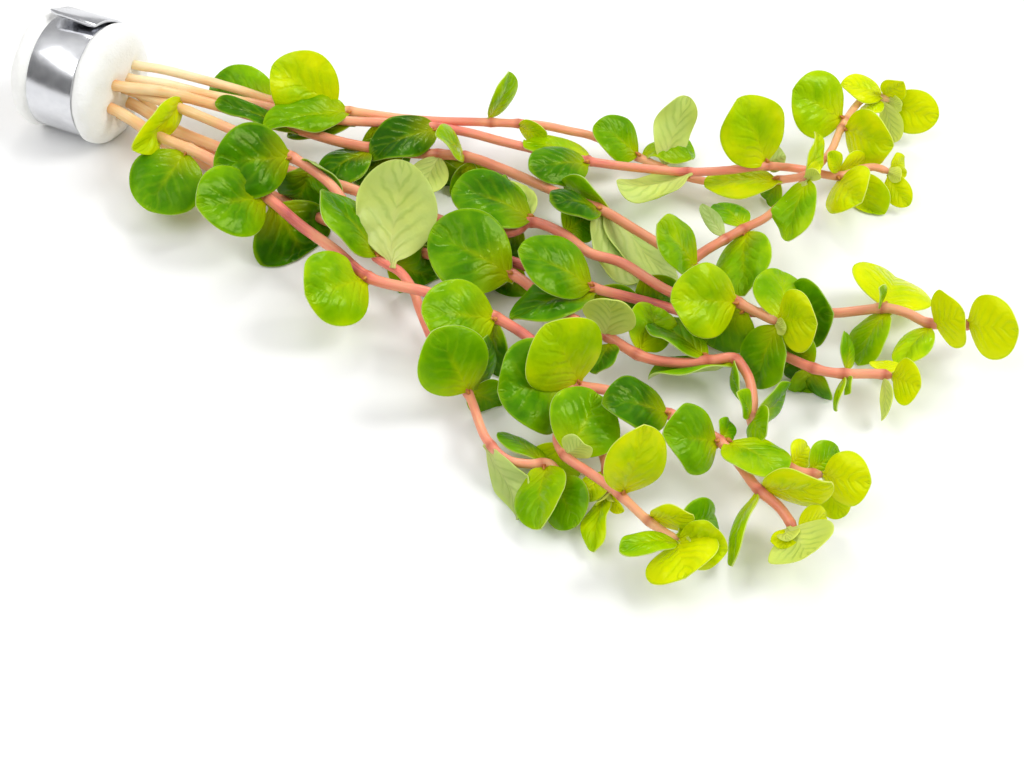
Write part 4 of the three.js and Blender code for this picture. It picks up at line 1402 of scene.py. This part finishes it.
rolled_metal, tree = finish("soft_rolled_zinc")
places = node(tree, "TexCoord").outputs["Object"]
stretched = node(tree, "Mapping", {"Vector": places, "Scale": ROLLING})
rolling = node(tree, "TexNoise", {"Vector": stretched, "Scale": 1.0, "Detail": 3.0})
scuffs = node(tree, "TexNoise", {"Vector": places, "Scale": SCUFF, "Detail": 5.0})
colour = node(tree, "ValToRGB", scuffs, stops=[(0.35, "#D4D5D9"), (0.65, "#DEDFE2")])
rough = node(tree, "MapRange", scuffs, 0.3, 0.7, 0.16, 0.22)
bump = node(tree, "Bump", {"Height": rolling, "Strength": 0.12, "Distance": 0.02 * MM})
skin = node(
    tree,
    "BsdfPrincipled",
    {"Base Color": colour, "Metallic": 1.0, "Roughness": rough, "Normal": bump},
)
node(tree, "OutputMaterial", skin)
print(rolled_metal.name, len(tree.nodes), "nodes")

# %% [markdown]
# ## The strip
# A flat strip is bent once round the foam by hand, and its free end laps over the start and
# stands off a little at the top. A curve drawn in the bunch's cross-section gives the bend, its
# Extrude setting gives the width, Solidify the thickness and Bevel the rounded edges.

# %% Bent strip
STRIP_WIDTH = 10.5  # mm
STRIP_RADIUS = 12  # mm to the outer face
STRIP_START = math.radians(20)
STRIP_LAP = math.radians(67)
STRIP_FLARE = 1.0  # mm that the free end stands off
STRIP_STEPS = 120
LAP_GAP = 0.3  # mm

ramp_turn = STRIP_LAP / 4  # within this turn the strip climbs onto its own start
bend = []
for i in range(STRIP_STEPS + 1):
    turned = i / STRIP_STEPS * (math.tau + STRIP_LAP)
    lapped = max(0, turned - math.tau + ramp_turn) / (STRIP_LAP + ramp_turn)
    climb = min(1, lapped * (STRIP_LAP + ramp_turn) / ramp_turn)
    radius = STRIP_RADIUS - STRIP_THICK / 2
    radius += climb * (STRIP_THICK + LAP_GAP) + STRIP_FLARE * lapped ** 3
    y = radius * math.cos(STRIP_START + turned)
    z = COLLAR_AXIS + radius * math.sin(STRIP_START + turned)
    z = max(z, STRIP_THICK / 2 + FLOOR_GAP)
    bend.append((y * MM, z * MM))

bpy.ops.object.select_all(action="DESELECT")
bpy.ops.curve.primitive_nurbs_path_add()
strip = bpy.context.object
strip.name = "bent_strip"
strip.data.dimensions = "2D"
strip.data.fill_mode = "NONE"
strip.data.extrude = STRIP_WIDTH / 2 * MM
spline = strip.data.splines[0]
spline.type = "POLY"
spline.points.add(len(bend) - len(spline.points))
for point, (y, z) in zip(spline.points, bend):
    point.co = (y, z, 0, 1)
bpy.ops.object.convert(target="MESH")
strip.rotation_euler = (math.pi / 2, 0, math.pi / 2)
bpy.ops.object.transform_apply(location=True, rotation=True, scale=True)
print("size of the bent strip, mm:", [round(c / MM, 1) for c in strip.dimensions])

# %% Thickness, corners and lifted corner of the strip
CORNER = 1.6  # mm: the corners of the free end are cut round
STRIP_EDGE = 0.12  # mm
LIFT = Vector((-0.4, 0, 0.9))  # mm that one corner of the free end is curled out and up
LIFT_REACH = 4  # mm

free_end = Vector((-STRIP_WIDTH / 2 * MM, *bend[-1]))
bpy.ops.object.mode_set(mode="EDIT")
pick(strip, lambda c: (c.yz - free_end.yz).length < 0.01 * MM)
bpy.ops.mesh.bevel(offset=CORNER * MM, segments=4, affect="VERTICES")
bpy.ops.object.mode_set(mode="OBJECT")
for vertex in strip.data.vertices:
    off = (vertex.co - free_end).length / MM
    radius = (vertex.co.yz - foam_axis).length / MM
    if off < LIFT_REACH and radius > STRIP_RADIUS + LAP_GAP:
        vertex.co += LIFT * ((1 - off / LIFT_REACH) ** 1.5 * MM)
apply_modifier(strip, "SOLIDIFY", thickness=STRIP_THICK * MM, offset=0)
apply_modifier(strip, "BEVEL", width=STRIP_EDGE * MM, segments=2, limit_method="ANGLE")
alone(strip)
bpy.ops.object.shade_smooth_by_angle(angle=math.radians(40))
strip.data.materials.append(rolled_metal)
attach(strip, "root")
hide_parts("metal_strip")
print("strip:", len(strip.data.polygons), "faces")

# %% [markdown]
# ## Floor and light
# The bunch lies on a plain white surface under a soft, even light, so its shadows are faint. A
# wide lamp hangs in front, and the strip mirrors it as its white band. The room above is bright
# and the front of the room near the horizon is dim, which the strip mirrors as its grey bands.
# Most of the light comes from the back and the side, so the wet leaves keep their deep colour.

# %% Floor
floor_paint, tree = finish("matt_white_surface")
paint = node(tree, "BsdfPrincipled", {"Base Color": linear("#F6F6F6"), "Roughness": 0.9})
node(tree, "OutputMaterial", paint)
bpy.ops.object.select_all(action="DESELECT")
bpy.ops.mesh.primitive_plane_add(size=4)
floor = bpy.context.object
floor.name = "floor"
floor.data.materials.append(floor_paint)
floor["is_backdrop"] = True


# %% Lamps
def soft_lamp(name, place, width, depth, power):
    """A soft lamp with a rectangular face, aimed at the middle of the bunch."""
    bpy.ops.object.light_add(type="AREA", location=place)
    lamp = bpy.context.object
    lamp.name = name
    lamp.data.shape = "RECTANGLE"
    lamp.data.size = width
    lamp.data.size_y = depth
    lamp.data.energy = power
    aim = TARGET * MM - Vector(place)
    lamp.rotation_euler = aim.to_track_quat("-Z", "Y").to_euler()


soft_lamp("front_lamp", (-0.277, -0.5, 0.835), 1.0, 0.4, 3.0)
soft_lamp("back_lamp", (-0.2, 0.8, 0.95), 0.3, 0.3, 2.5)
soft_lamp("side_lamp", (0.85, 0.3, 0.95), 0.5, 0.5, 7.0)

# %% Room
room = bpy.data.worlds.new("room")
bpy.context.scene.world = room
room.use_nodes = True
tree = room.node_tree
tree.nodes.clear()
way = node(tree, "SeparateXYZ", node(tree, "TexCoord"))
front = node(
    tree,
    "ValToRGB",
    way.outputs[2],
    stops=[(0.0, "#E0E0E0"), (0.06, "#787878"), (0.5, "#909090"), (0.68, "#F0F0F0"), (1.0, "#FFFFFF")],
)
backward = node(tree, "MapRange", way.outputs[1], 0.1, 0.5, 0.0, 1.0)
walls = node(tree, "Mix", backward, front, linear("#B8B8B8"), data_type="RGBA")
node(tree, "OutputWorld", node(tree, "Background", {"Color": walls, "Strength": 1.0}))
bpy.context.scene.view_settings.view_transform = "Standard"
print(room.name, len(tree.nodes), "nodes")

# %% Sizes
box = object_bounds()
for corner, name in zip(box, ("lowest", "highest")):
    print(name, "corner of the dressed part, mm:", [round(c / MM, 1) for c in corner])
